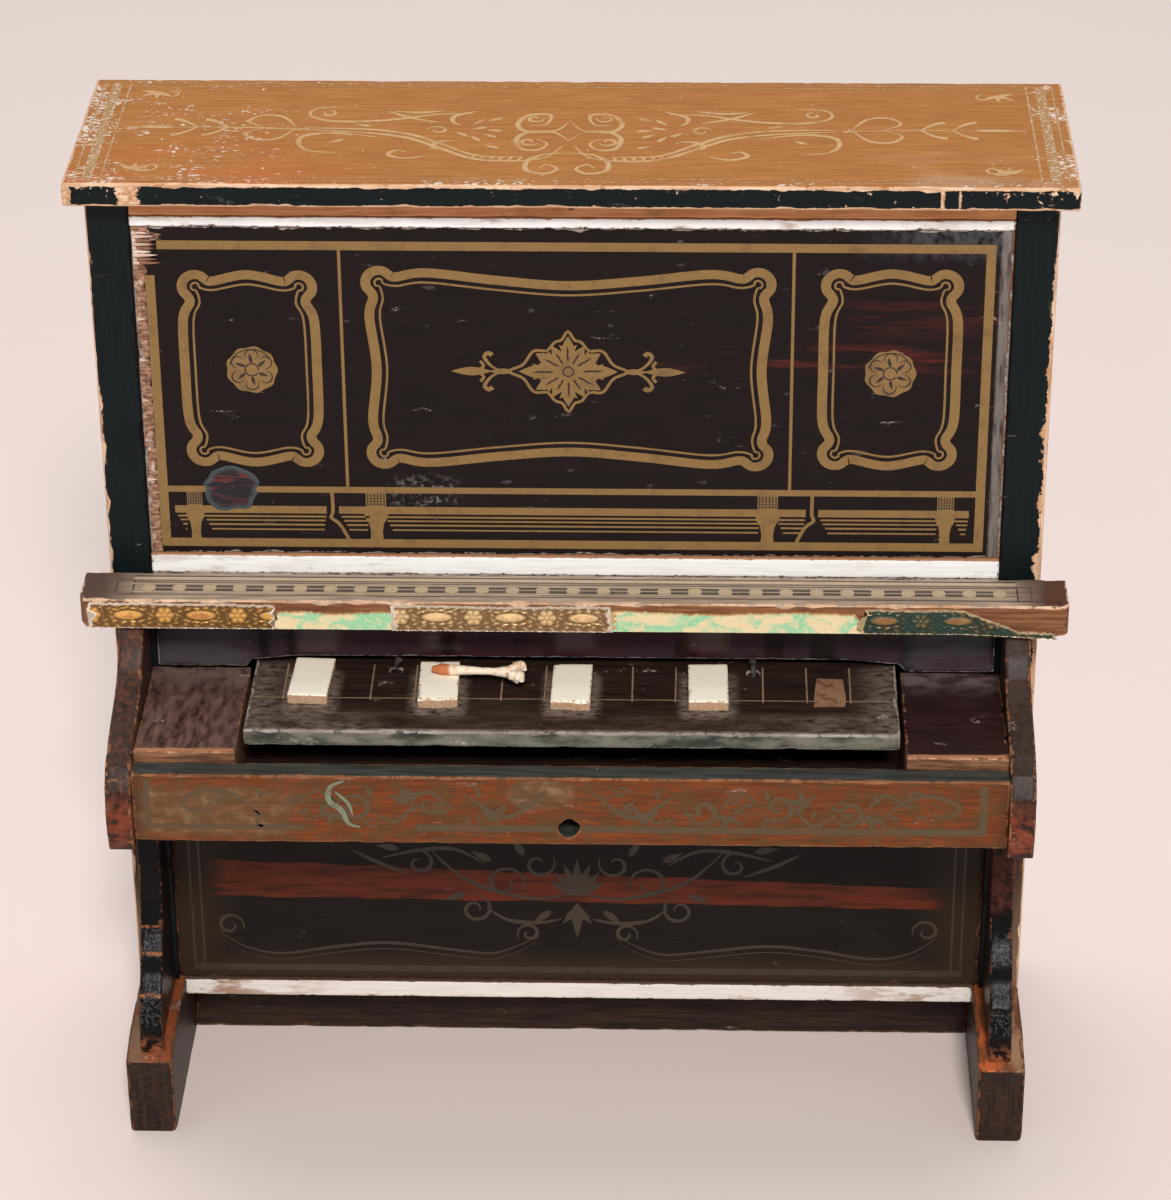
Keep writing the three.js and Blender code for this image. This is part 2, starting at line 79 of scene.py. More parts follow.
def make_camera():
    data = bpy.data.cameras.new("camera")
    data.sensor_width = SENSOR
    data.lens = FOCAL_PIXELS * SENSOR / IMAGE_HEIGHT
    data.clip_start = 0.01
    data.clip_end = 10
    camera = bpy.data.objects.new("camera", data)
    bpy.context.collection.objects.link(camera)
    facing = turn(CAMERA_YAW, "Z") @ turn(90 - CAMERA_DOWN, "X") @ turn(CAMERA_ROLL, "Z")
    camera.matrix_world = Matrix.Translation(CAMERA_PLACE) @ facing
    bpy.context.scene.camera = camera


def make_light(name, place, size, power, color):
    data = bpy.data.lights.new(name, "AREA")
    data.shape = "DISK"
    data.size = size
    data.energy = power
    data.color = color
    light = bpy.data.objects.new(name, data)
    bpy.context.collection.objects.link(light)
    aim = (Vector(LIT_PLACE) - Vector(place)).to_track_quat("-Z", "Y")
    light.matrix_world = Matrix.Translation(place) @ aim.to_matrix().to_4x4()


def make_studio():
    make_light("key", (0.15, -1.50, 1.45), 0.40, 35.0, (1.0, 0.95, 0.92))
    make_light("top", (-0.10, 0.40, 1.60), 1.20, 11.0, (1.0, 0.92, 0.86))
    make_light("fill", (-0.80, -0.60, 0.45), 0.60, 0.35, (0.92, 0.96, 1.0))
    world = bpy.data.worlds.new("world")
    world.use_nodes = True
    background = world.node_tree.nodes["Background"]
    background.inputs["Color"].default_value = (0.72, 0.86, 1.0, 1)
    background.inputs["Strength"].default_value = 0.30
    bpy.context.scene.world = world
    bpy.context.scene.view_settings.view_transform = "Standard"


# ---- node materials ----


class Graph:
    """One material's nodes. Its noises and zones work in millimetres of the object's own frame."""

    def __init__(self, name, roughness=0.5, metallic=0.0, specular=0.5):
        self.material = bpy.data.materials.new(name)
        self.material.use_nodes = True
        self.tree = self.material.node_tree
        self.tree.nodes.clear()
        self.shader = self.node("ShaderNodeBsdfPrincipled")
        self.shader.inputs["Roughness"].default_value = roughness
        self.shader.inputs["Metallic"].default_value = metallic
        self.shader.inputs["Specular IOR Level"].default_value = specular
        output = self.node("ShaderNodeOutputMaterial")
        self.tree.links.new(self.shader.outputs[0], output.inputs[0])
        self.coords = self.node("ShaderNodeTexCoord")
        scale = self.node("ShaderNodeVectorMath", operation="SCALE")
        self.tree.links.new(self.coords.outputs["Object"], scale.inputs[0])
        scale.inputs["Scale"].default_value = 1 / MM
        self.mm = scale.outputs[0]
        split = self.node("ShaderNodeSeparateXYZ")
        self.tree.links.new(self.mm, split.inputs[0])
        self.x, self.y, self.z = split.outputs

    def node(self, kind, **settings):
        made = self.tree.nodes.new(kind)
        for key, value in settings.items():
            setattr(made, key, value)
        return made

    def put(self, socket, value):
        if isinstance(value, bpy.types.NodeSocket):
            self.tree.links.new(value, socket)
        elif isinstance(value, (tuple, list)) and len(value) == 3 and socket.type == "RGBA":
            socket.default_value = (*value, 1)
        else:
            socket.default_value = value

    def math(self, operation, a, b=0.0):
        made = self.node("ShaderNodeMath", operation=operation)
        self.put(made.inputs[0], a)
        self.put(made.inputs[1], b)
        return made.outputs[0]

    def fold(self, operation, first, *others):
        for other in others:
            first = self.math(operation, first, other)
        return first

    def plus(self, *values):
        return self.fold("ADD", *values)

    def minus(self, a, b):
        return self.math("SUBTRACT", a, b)

    def times(self, *values):
        return self.fold("MULTIPLY", *values)

    def most(self, *values):
        return self.fold("MAXIMUM", *values)

    def sway(self, pattern, reach):
        """A noise turned into a push either way, which makes a border ragged."""
        return self.times(self.minus(pattern, 0.5), reach)

    def aside(self):
        """How far a place is from the piano's middle, to either side."""
        return self.math("ABSOLUTE", self.x)

    def mix(self, factor, a, b):
        """a where the factor is 0, and b where it is 1."""
        made = self.node("ShaderNodeMix", data_type="RGBA")
        self.put(made.inputs["Factor"], factor)
        self.put(made.inputs["A"], a)
        self.put(made.inputs["B"], b)
        return made.outputs["Result"]

    def step(self, value, low, high):
        """0 below low, 1 above high, smooth between. Low may be the larger, to turn it round."""
        made = self.node("ShaderNodeMapRange", interpolation_type="SMOOTHSTEP")
        self.put(made.inputs["Value"], value)
        made.inputs["From Min"].default_value = min(low, high)
        made.inputs["From Max"].default_value = max(low, high)
        made.inputs["To Min"].default_value = 0 if low < high else 1
        made.inputs["To Max"].default_value = 1 if low < high else 0
        return made.outputs[0]

    def noise(self, size, detail=3.0, stretch=(1, 1, 1), shift=0.0, distortion=0.0):
        """A cloudy pattern from 0 to 1 whose patches are about size millimetres across."""
        place = self.node("ShaderNodeMapping")
        self.tree.links.new(self.mm, place.inputs["Vector"])
        place.inputs["Location"].default_value = (shift, shift, shift)
        place.inputs["Scale"].default_value = tuple(1 / (size * s) for s in stretch)
        made = self.node("ShaderNodeTexNoise")
        self.tree.links.new(place.outputs[0], made.inputs["Vector"])
        made.inputs["Scale"].default_value = 1
        made.inputs["Detail"].default_value = detail
        made.inputs["Roughness"].default_value = 0.6
        made.inputs["Distortion"].default_value = distortion
        return made.outputs["Fac"]

    def facing(self, axis, sign):
        """1 on faces that look along an axis of the object, 0 on those that look across or away."""
        split = self.node("ShaderNodeSeparateXYZ")
        self.tree.links.new(self.coords.outputs["Normal"], split.inputs[0])
        return self.step(split.outputs[axis], 0.25 * sign, 0.45 * sign)

    def attribute(self, name):
        return self.node("ShaderNodeAttribute", attribute_name=name).outputs["Fac"]

    def span(self, coordinate, low, high, soft, ragged=None, reach=0.0):
        """1 inside a stretch of one coordinate, with soft ends that a noise can push about."""
        if ragged is not None:
            coordinate = self.plus(coordinate, self.sway(ragged, reach))
        rise = self.step(coordinate, low - soft, low + soft)
        fall = self.step(coordinate, high + soft, high - soft)
        return self.times(rise, fall)

    def bump(self, height, depth_mm):
        made = self.node("ShaderNodeBump")
        made.inputs["Strength"].default_value = 1
        made.inputs["Distance"].default_value = depth_mm * MM
        self.put(made.inputs["Height"], height)
        self.put(self.shader.inputs["Normal"], made.outputs[0])

    def color(self, value):
        self.put(self.shader.inputs["Base Color"], value)

    def roughness(self, base, pattern, spread):
        """Duller where the pattern is high, by up to the spread."""
        self.put(self.shader.inputs["Roughness"], self.plus(base, self.times(pattern, spread)))


ALONG_X = (14, 1, 1)
ALONG_Y = (1, 14, 1)
ALONG_Z = (1, 1, 14)

BARE_WOOD = ((0.58, 0.30, 0.12), (0.36, 0.14, 0.045))
PALE_SCUFF = (0.70, 0.62, 0.54)
GRIME = (0.10, 0.045, 0.02)


def coated_wood(name, coat, grain=ALONG_X, bare=BARE_WOOD, wear=0.45, ragged=0.9, gloss=0.35,
                scuffs=0.25, mottling=0.5, zones=None, specular=0.16, worn_where=None, bump=0.07):
    """Stained or lacquered wood, worn through to bare wood along its edges.

    coat and bare are each a light and a dark colour, and wear is the width in mm of the worn edge.
    zones(graph, color) may paint patches, and worn_where(graph) says where the edges wear.
    """
    g = Graph(name, specular=specular)
    streaks = g.noise(0.55, 6, grain)
    cloud = g.noise(9, 4, shift=3.1)
    fine = g.noise(0.35, 3, shift=7.7)
    tone = g.mix(g.step(streaks, 0.36, 0.66), *coat)
    tone = g.mix(g.times(g.step(cloud, 0.4, 0.75), mottling), tone, coat[1])
    if zones:
        tone = zones(g, tone)
    flake = g.noise(1.3, 7, shift=1.7, distortion=0.6)
    push = g.sway(flake, ragged * 2)
    depth = g.minus(g.attribute("edge"), push)
    worn = g.step(depth, wear + 0.06, wear - 0.06)
    if worn_where:
        worn = g.times(worn, worn_where(g))
    bare_tone = g.mix(g.step(streaks, 0.3, 0.7), *bare)
    tone = g.mix(worn, tone, bare_tone)
    rubbed = g.noise(2.4, 9, (3, 1.5, 1), shift=11.3, distortion=0.4)
    speck = g.times(g.step(rubbed, 0.64, 0.70), g.step(fine, 0.45, 0.6), scuffs)
    g.color(g.mix(speck, tone, PALE_SCUFF))
    g.roughness(g.plus(gloss, g.times(g.most(worn, speck), 0.4)), fine, 0.18)
    g.bump(g.minus(g.times(streaks, 0.5), worn), bump)
    return g.material


def bare_wood(name, light, dark, grain=ALONG_X, dirt=0.35):
    g = Graph(name, specular=0.3)
    streaks = g.noise(0.5, 7, grain)
    cloud = g.noise(5, 4, shift=2.2)
    tone = g.mix(g.step(streaks, 0.3, 0.7), light, dark)
    soiled = g.times(g.step(cloud, 0.5, 0.7), dirt)
    g.color(g.mix(soiled, tone, GRIME))
    g.roughness(0.6, streaks, 0.3)
    g.bump(streaks, 0.06)
    return g.material


def gilt(name, color, under, worn=0.5, patch=3.0, flecks=0.0):
    """A transfer print that has rubbed thin in places, so that what is under it shows."""
    g = Graph(name, specular=0.5)
    rub = g.noise(patch, 8, shift=4.4)
    grit = g.noise(0.22, 2, shift=9.9)
    shade = g.mix(g.step(grit, 0.3, 0.75), color, tuple(c * 0.72 for c in color))
    gone = g.times(g.step(rub, 0.47, 0.72), worn)
    specks = g.times(g.step(grit, 0.62, 0.7), worn * 0.6)
    tone = g.mix(g.most(gone, specks), shade, under)
    if flecks:
        white = g.step(g.noise(0.6, 8, shift=5.7), 0.52, 0.60)
        tone = g.mix(g.times(white, flecks), tone, (0.78, 0.72, 0.62))
    g.color(tone)
    g.roughness(0.42, grit, 0.25)
    g.bump(grit, 0.01)
    return g.material


def painted_white(name, light, stained, top):
    """White strips with a share of brown stains, painted only in front: their tops are bare wood."""
    g = Graph(name, specular=0.25)
    streaks = g.noise(0.6, 6, ALONG_X)
    stain = g.noise(2.6, 8, (3, 1, 1), shift=5.5)
    tone = g.mix(g.step(streaks, 0.40, 0.80), light, tuple(c * 0.82 for c in light))
    soiled = g.times(g.step(stain, 0.60, 0.72), 0.6)
    at_ends = g.times(g.step(g.aside(), 30, 60), g.step(stain, 0.50, 0.62), stained)
    tone = g.mix(g.most(soiled, at_ends), tone, (0.34, 0.18, 0.10))
    flake = g.noise(0.9, 6, shift=8.1)
    push = g.sway(flake, 0.9)
    worn = g.step(g.minus(g.attribute("edge"), push), -0.02, -0.10)
    g.color(g.mix(g.facing("Z", 1), g.mix(worn, tone, (0.24, 0.13, 0.075)), top))
    g.roughness(0.5, streaks, 0.3)
    g.bump(g.minus(streaks, worn), 0.06)
    return g.material


def embossed_paper(name, raised, hollow, torn, patina=None):
    """Embossed gilt paper: worn bright and reddish on its bosses, dark between, white where torn."""
    g = Graph(name, roughness=0.3, metallic=0.3, specular=0.5)
    height = g.attribute("height")
    grit = g.noise(0.3, 5)
    tone = g.mix(g.step(height, 0.15, 0.85), hollow, raised)
    rubbed = g.times(g.step(height, 0.7, 0.95), g.step(g.noise(2.2, 4, shift=2.7), 0.42, 0.6))
    tone = g.mix(g.times(rubbed, 0.8), tone, (0.42, 0.13, 0.045))
    if patina:
        in_hollows = g.minus(1.0, g.times(g.step(height, 0.45, 0.85), 0.7))
        tone = g.mix(g.times(g.step(g.noise(3.0, 5, shift=6.1), 0.35, 0.6), in_hollows), tone, patina)
    tone = g.mix(g.times(g.step(grit, 0.5, 0.75), 0.45), tone, hollow)
    push = g.sway(grit, 0.9)
    edge = g.step(g.plus(g.attribute("edge"), push), 0.42, 0.22)
    g.color(g.mix(edge, tone, torn))
    g.roughness(0.24, grit, 0.3)
    g.bump(grit, 0.05)
    return g.material


def paper_residue(name):
    """What is left of the paper's backing: green and cream flecks."""
    g = Graph(name, roughness=0.85, specular=0.2)
    patch = g.noise(2.6, 5, (1.6, 1, 1), distortion=0.8)
    fine = g.noise(0.4, 5, shift=3.3)
    tone = g.mix(g.step(patch, 0.42, 0.58), (0.31, 0.66, 0.37), (0.86, 0.67, 0.39))
    tone = g.mix(g.times(g.step(fine, 0.45, 0.7), 0.45), tone, (0.84, 0.86, 0.60))
    push = g.sway(fine, 0.9)
    edge = g.step(g.plus(g.attribute("edge"), push), 0.30, 0.10)
    g.color(g.mix(edge, tone, (0.55, 0.34, 0.14)))
    g.bump(fine, 0.06)
    return g.material


def cream_paint(name, light=(1.0, 0.94, 0.77), dirty=(0.50, 0.27, 0.12), red_end=None, stains=0.0):
    g = Graph(name, specular=0.35)
    streaks = g.noise(0.5, 6, ALONG_Y)
    fine = g.noise(0.5, 5, shift=4.9)
    tone = g.mix(g.times(g.step(streaks, 0.45, 0.8), 0.22), light, (0.86, 0.72, 0.50))
    push = g.sway(fine, 0.8)
    worn = g.step(g.minus(g.attribute("edge"), push), 0.04, -0.10)
    tone = g.mix(worn, tone, dirty)
    if stains:
        stain = g.step(g.noise(1.5, 7, shift=3.2), 0.50, 0.64)
        tone = g.mix(g.times(stain, stains), tone, (0.72, 0.33, 0.14))
    if red_end is not None:
        reach = g.plus(g.x, g.times(fine, 1.6))
        tone = g.mix(g.step(reach, red_end + 1.4, red_end + 0.6), tone, (0.56, 0.17, 0.055))
    g.color(tone)
    g.roughness(0.5, fine, 0.3)
    g.bump(g.plus(streaks, fine), 0.05)
    return g.material


def old_steel(name):
    g = Graph(name, metallic=0.85)
    tarnish = g.noise(0.8, 6)
    g.color(g.mix(g.step(tarnish, 0.35, 0.65), (0.30, 0.29, 0.28), (0.06, 0.045, 0.04)))
    g.roughness(0.3, tarnish, 0.4)
    g.bump(tarnish, 0.01)
    return g.material


def wool_felt(name):
    g = Graph(name, specular=0.15)
    fibre = g.noise(0.25, 8, distortion=1.2)
    g.color(g.mix(g.step(fibre, 0.3, 0.7), (0.22, 0.03, 0.03), (0.08, 0.01, 0.012)))
    g.roughness(0.85, fibre, 0.1)
    g.bump(fibre, 0.12)
    return g.material


def floor_finish():
    g = Graph("floor_cloth", specular=0.2)
    cloud = g.noise(60, 3)
    weave = g.noise(0.5, 2)
    tone = g.mix(cloud, (0.86, 0.73, 0.68), (0.83, 0.71, 0.66))
    g.color(g.mix(g.times(weave, 0.08), tone, (0.60, 0.52, 0.50)))
    g.roughness(0.8, weave, 0.1)
    return g.material


# ---- planes that pieces are drawn on ----


class Plane:
    """A face of a node's box, with places on it in mm and h in mm out of it.

    On a front, u runs right from the piano's middle and v up from the floor. On a top, v runs back
    from the front edge. On a side, u runs back from the front edge and v up from the floor.
    """

    def __init__(self, node, facing):
        low, high = (Vector(corner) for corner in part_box(node))
        if facing == "front":
            self.origin = Vector((0, low.y, 0))
            self.u, self.v, self.n = Vector((1, 0, 0)), Vector((0, 0, 1)), Vector((0, -1, 0))
        elif facing == "top":
            self.origin = Vector((0, low.y, high.z))
            self.u, self.v, self.n = Vector((1, 0, 0)), Vector((0, 1, 0)), Vector((0, 0, 1))
        else:
            self.origin = Vector((high.x, low.y, 0))
            self.u, self.v, self.n = Vector((0, 1, 0)), Vector((0, 0, 1)), Vector((1, 0, 0))
        self.left, self.right = sorted(self.flat(corner).x for corner in (low, high))
        self.under, self.over = sorted(self.flat(corner).y for corner in (low, high))
        self.depth = abs((high - low).dot(self.n)) / MM

    def at(self, u, v, h=0.0):
        return self.origin + (self.u * u + self.v * v + self.n * h) * MM

    def flat(self, point):
        away = Vector(point) - self.origin
        return Vector((away.dot(self.u) / MM, away.dot(self.v) / MM))


SMOOTH_BELOW = 50


def make_object(name, verts, faces, materials, face_slots=None, **attributes):
    """A mesh object, smooth over its gentle edges, with a number at each vertex for each attribute."""
    mesh = bpy.data.meshes.new(name)
    mesh.from_pydata(verts, [], faces)
    for material in materials:
        mesh.materials.append(material)
    if face_slots:
        mesh.polygons.foreach_set("material_index", face_slots)
    for key, values in attributes.items():
        mesh.attributes.new(key, "FLOAT", "POINT").data.foreach_set("value", values)
    cleaner = bmesh.new()
    cleaner.from_mesh(mesh)
    bmesh.ops.recalc_face_normals(cleaner, faces=cleaner.faces)
    cleaner.to_mesh(mesh)
    cleaner.free()
    mesh.polygons.foreach_set("use_smooth", [True] * len(mesh.polygons))
    mesh.set_sharp_from_angle(angle=math.radians(SMOOTH_BELOW))
    made = bpy.data.objects.new(name, mesh)
    bpy.context.collection.objects.link(made)
    return made


def band_faces(a, b, count):
    """Faces between two closed rings of count vertices, which start at the vertices a and b."""
    return [(a + i, a + (i + 1) % count, b + (i + 1) % count, b + i) for i in range(count)]


body_of = {
    node: body for body, nodes in frame["record"]["behaviour"]["bodies"].items() for node in nodes
}


def slot_of(node):
    return frame["nodes"][node].data.materials[0].name


def settle(piece, node, replaces_it=True):
    """Rides a piece on a node's body, and may stand for the node."""
    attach(piece, body_of[node])
    if replaces_it:
        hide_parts(node)
    return piece


# ---- worn boards, grown from the outline of a node's face ----

CORNER_ANGLE = 25
CORNER_CUT = 0.29
STEEPEST_MITRE = 1.2
EDGE_REACH = 1.6
HOLE_REACH = 0.3
HOLE_POINTS = 20
STATION = 1.1
LEVEL_PITCH = 6.0
CAP_BANDS = 4


def face_outline(node, plane):
    """The closed outline of a node's outermost flat face, stretched to the node's own box."""
    shape = bmesh.new()
    shape.from_mesh(frame["nodes"][node].data)
    bmesh.ops.remove_doubles(shape, verts=shape.verts, dist=1e-7)
    outermost = max(v.co.dot(plane.n) for v in shape.verts)
    flat = [
        f for f in shape.faces
        if f.normal.dot(plane.n) > 0.99 and f.calc_center_median().dot(plane.n) > outermost - 0.02 * MM
    ]
    border = {}
    for f in flat:
        for loop in f.loops:
            if sum(other in flat for other in loop.edge.link_faces) == 1:
                border[loop.vert.index] = loop.link_loop_next.vert.index
    points = {v.index: plane.flat(v.co) for v in shape.verts}
    shape.free()
    start, here = border.popitem()
    outline = [points[start]]
    while here != start:
        outline.append(points[here])
        here = border.pop(here)
    for axis, low, high in ((0, plane.left, plane.right), (1, plane.under, plane.over)):
        have = [p[axis] for p in outline]
        ratio = (high - low) / (max(have) - min(have))
        for p in outline:
            p[axis] = low + (p[axis] - min(have)) * ratio
    return straightened(outline)


def straightened(outline):
    """Leaves out points that lie on a straight line between their neighbours."""
    kept = []
    for i, p in enumerate(outline):
        before, after = p - outline[i - 1], outline[(i + 1) % len(outline)] - p
        if abs(before.normalized().cross(after.normalized())) > 1e-3:
            kept.append(p)
    return kept


def rectangle(plane):
    left, right, under, over = plane.left, plane.right, plane.under, plane.over
    return [Vector(p) for p in ((left, under), (right, under), (right, over), (left, over))]


def round_hole(u, v, radius, raggedness=0.0):
    """Runs clockwise, so that the wood is on the left of it, as it is of an outer outline."""
    points = []
    for i in range(HOLE_POINTS):
        angle = -2 * math.pi * i / HOLE_POINTS
        r = radius * (1 + raggedness * noise.noise(Vector((math.cos(angle), math.sin(angle), 2.3))))
        points.append(Vector((u + r * math.cos(angle), v + r * math.sin(angle))))
    return points


def walk(loop, radius):
    """Stations along a closed outline, with its sharp corners rounded off.

    Each is a point and the way it moves for every mm that the outline shrinks.
    """
    count = len(loop)
    aheads = [(loop[(i + 1) % count] - p).normalized() for i, p in enumerate(loop)]
    turns = [aheads[i - 1].angle_signed(aheads[i]) * -1 for i in range(count)]
    mitres = [math.tan(max(-STEEPEST_MITRE, min(STEEPEST_MITRE, angle / 2))) for angle in turns]
    sharp = [abs(angle) > math.radians(CORNER_ANGLE) for angle in turns]
    stations = []
    for i, p in enumerate(loop):
        j = (i + 1) % count
        ahead, length = aheads[i], (loop[j] - p).length
        inward = Vector((-ahead.y, ahead.x))
        start, end = 0.0, length
        r = min(radius, length * 0.3)
        if sharp[i]:
            cut = (ahead - aheads[i - 1]) * r * CORNER_CUT
            stations.append((p + cut, inward + ahead * mitres[i]))
            start = r
        if sharp[j]:
            end -= r
        pieces = max(1, math.ceil((end - start) / STATION))
        for k in range(pieces + 1 if sharp[j] else pieces):
            along = start + (end - start) * k / pieces
            slide = mitres[i] - (mitres[i] + mitres[j]) * along / length
            stations.append((p + ahead * along, inward + ahead * slide))
    return stations, [p for p, is_sharp in zip(loop, sharp) if is_sharp]


def chipping(point, depth, seed):
    """How much extra wood is lost from an edge here, from 0 to 1, in separate chips."""
    wave = noise.noise(Vector((point.x * 0.33, point.y * 0.33, seed * 7.3 + depth)))
    rough = noise.noise(Vector((point.x * 1.3, point.y * 1.3, seed * 3.1 - depth)))
    return max(0.0, wave * 1.6 + rough * 0.7 - 0.12)


def edge_profile(cut, reach, drop):
    """Places round a board's edge, from its face to its side, with the wood cut away at the corner.

    Each is how far it lies inside the outline, how far below the face, its distance from the edge, and
    whether a corner of the outline may be nearer than that.
    """
    return (
        (reach, 0.0, reach, False),
        (max(reach / 2, cut), 0.0, reach / 2, False),
        (cut, 0.0, 0.0, False),
        (cut * CORNER_CUT, cut * CORNER_CUT, 0.0, False),
        (0.0, cut, 0.0, True),
        (0.0, max(drop / 2, cut), drop / 2, True),
    )


def side_levels(thick, drop):
    """Depths down a board's side between its two rounded edges, each with its distance from an edge."""
    levels = [(drop, drop)]
    for k in range(1, int(thick / LEVEL_PITCH)):
        if EDGE_REACH < k * LEVEL_PITCH < thick - EDGE_REACH:
            levels.append((k * LEVEL_PITCH, EDGE_REACH))
    if thick > 2 * drop + 0.1:
        levels.append((thick - drop, drop))
    return levels


def board_skin(stations, thick, drop, reach, radius, chip, seed):
    """Rings from a board's face over its side to its back, each with a place for every station."""
    most = min(reach, drop) * 0.8
    profiles = []
    for depth in (0.0, 5.0):
        cuts = [min(radius + chip * chipping(p, depth, seed), most) for p, _ in stations]
        profiles.append([edge_profile(cut, reach, drop) for cut in cuts])
    front, rear = profiles
    skin = [[f[k] for f in front] for k in range(len(front[0]))]
    skin += [[(0.0, level, value, True)] * len(stations) for level, value in side_levels(thick, drop)]
    for k in reversed(range(len(rear[0]))):
        skin.append([(inset, thick - level, *rest) for inset, level, *rest in (r[k] for r in rear)])
    return skin


def grow_board(node, plane, loops, cap, side, back=None, radius=0.22, chip=0.45, reach=EDGE_REACH, seed=1):
    """Replaces a node by a board whose outline lies on the plane and whose thickness runs into it.

    Its edges are rounded and chipped, and each vertex keeps its distance from the nearest edge.
    """
    thick = plane.depth
    drop = min(EDGE_REACH, thick * 0.4)
    outer_reach = min(reach, min(plane.right - plane.left, plane.over - plane.under) * 0.4)
    verts, faces, slots, edge = [], [], [], []
    front_rings, back_rings = [], []
    for is_hole, loop in enumerate(loops):
        reach = HOLE_REACH if is_hole else outer_reach
        stations, sharp = walk(loop, radius)
        count = len(stations)
        near = [min([EDGE_REACH] + [(p - c).length for c in sharp]) for p, _ in stations]
        rings = []
        for ring in board_skin(stations, thick, drop, reach, radius, chip, seed):
            rings.append(len(verts))
            for (p, shrink), (inset, level, value, by_corner), limit in zip(stations, ring, near):
                q = p + shrink * inset
                verts.append(plane.at(q.x, q.y, -level))
                edge.append(min(value, limit) if by_corner else value)
        bands = len(rings) - 1
        for k in range(bands):
            faces += band_faces(rings[k], rings[k + 1], count)
            slots += [0 if k < CAP_BANDS else (1 if k < bands - CAP_BANDS else 2)] * count
        front_rings.append((rings[0], count))
        back_rings.append((rings[-1], count))
    for rings, slot in ((front_rings, 0), (back_rings, 2)):
        index = [first + i for first, count in rings for i in range(count)]
        outlines = [[verts[first + i] for i in range(count)] for first, count in rings]
        for triangle in tessellate_polygon(outlines):
            faces.append(tuple(index[i] for i in triangle))
            slots.append(slot)
    made = make_object(f"{node}_worn", verts, faces, [cap, side, back or cap], slots, edge=edge)
    return settle(made, node)


def worn_board(node, facing, cap, side, holes=(), carved=False, **extra):
    """Replaces one node by a worn board of the same size, with its outline if it is carved."""
    plane = Plane(node, facing)
    outline = face_outline(node, plane) if carved else rectangle(plane)
    return grow_board(node, plane, [outline, *holes], cap, side, **extra)


# ---- prints: flat shapes a hair above a face ----

CURVE_STEP = 0.45
SPIRAL_STEPS = 14


def smooth_path(points, closed=False):
    """A Catmull-Rom curve through the points, sampled evenly."""
    pts = [Vector(p) for p in points]
    count = len(pts)
    result = []
    for i in range(count if closed else count - 1):
        if closed:
            a, b, c, d = (pts[(i + k) % count] for k in (-1, 0, 1, 2))
        else:
            a, b, c, d = pts[max(i - 1, 0)], pts[i], pts[i + 1], pts[min(i + 2, count - 1)]
        pieces = max(2, math.ceil((c - b).length / CURVE_STEP))
        for k in range(pieces):
            t = k / pieces
            result.append(
                0.5 * (2 * b + (c - a) * t + (2 * a - 5 * b + 4 * c - d) * t * t
                       + (3 * b - a - 3 * c + d) * t ** 3)
            )
    if not closed:
        result.append(pts[-1])
    return result


def spiral(x, y, outer, inner, start, turns):
    """Points winding in from the outer radius. Angles are in degrees, and turns may be negative."""
    count = max(6, int(abs(turns) * SPIRAL_STEPS))
    points = []
    for k in range(count + 1):
        t = k / count
        angle = math.radians(start + 360 * turns * t)
        r = outer + (inner - outer) * t
        points.append((x + r * math.cos(angle), y + r * math.sin(angle)))
    return points


def placed(points, u=0.0, v=0.0, sign=1, rise=1):
    """Points moved to u, v. A sign of -1 mirrors them left for right, and a rise of -1 upside down."""
    return [(u + sign * p, v + rise * q) for p, q in points]


def mirrored(degrees, sign):
    return degrees if sign > 0 else 180 - degrees


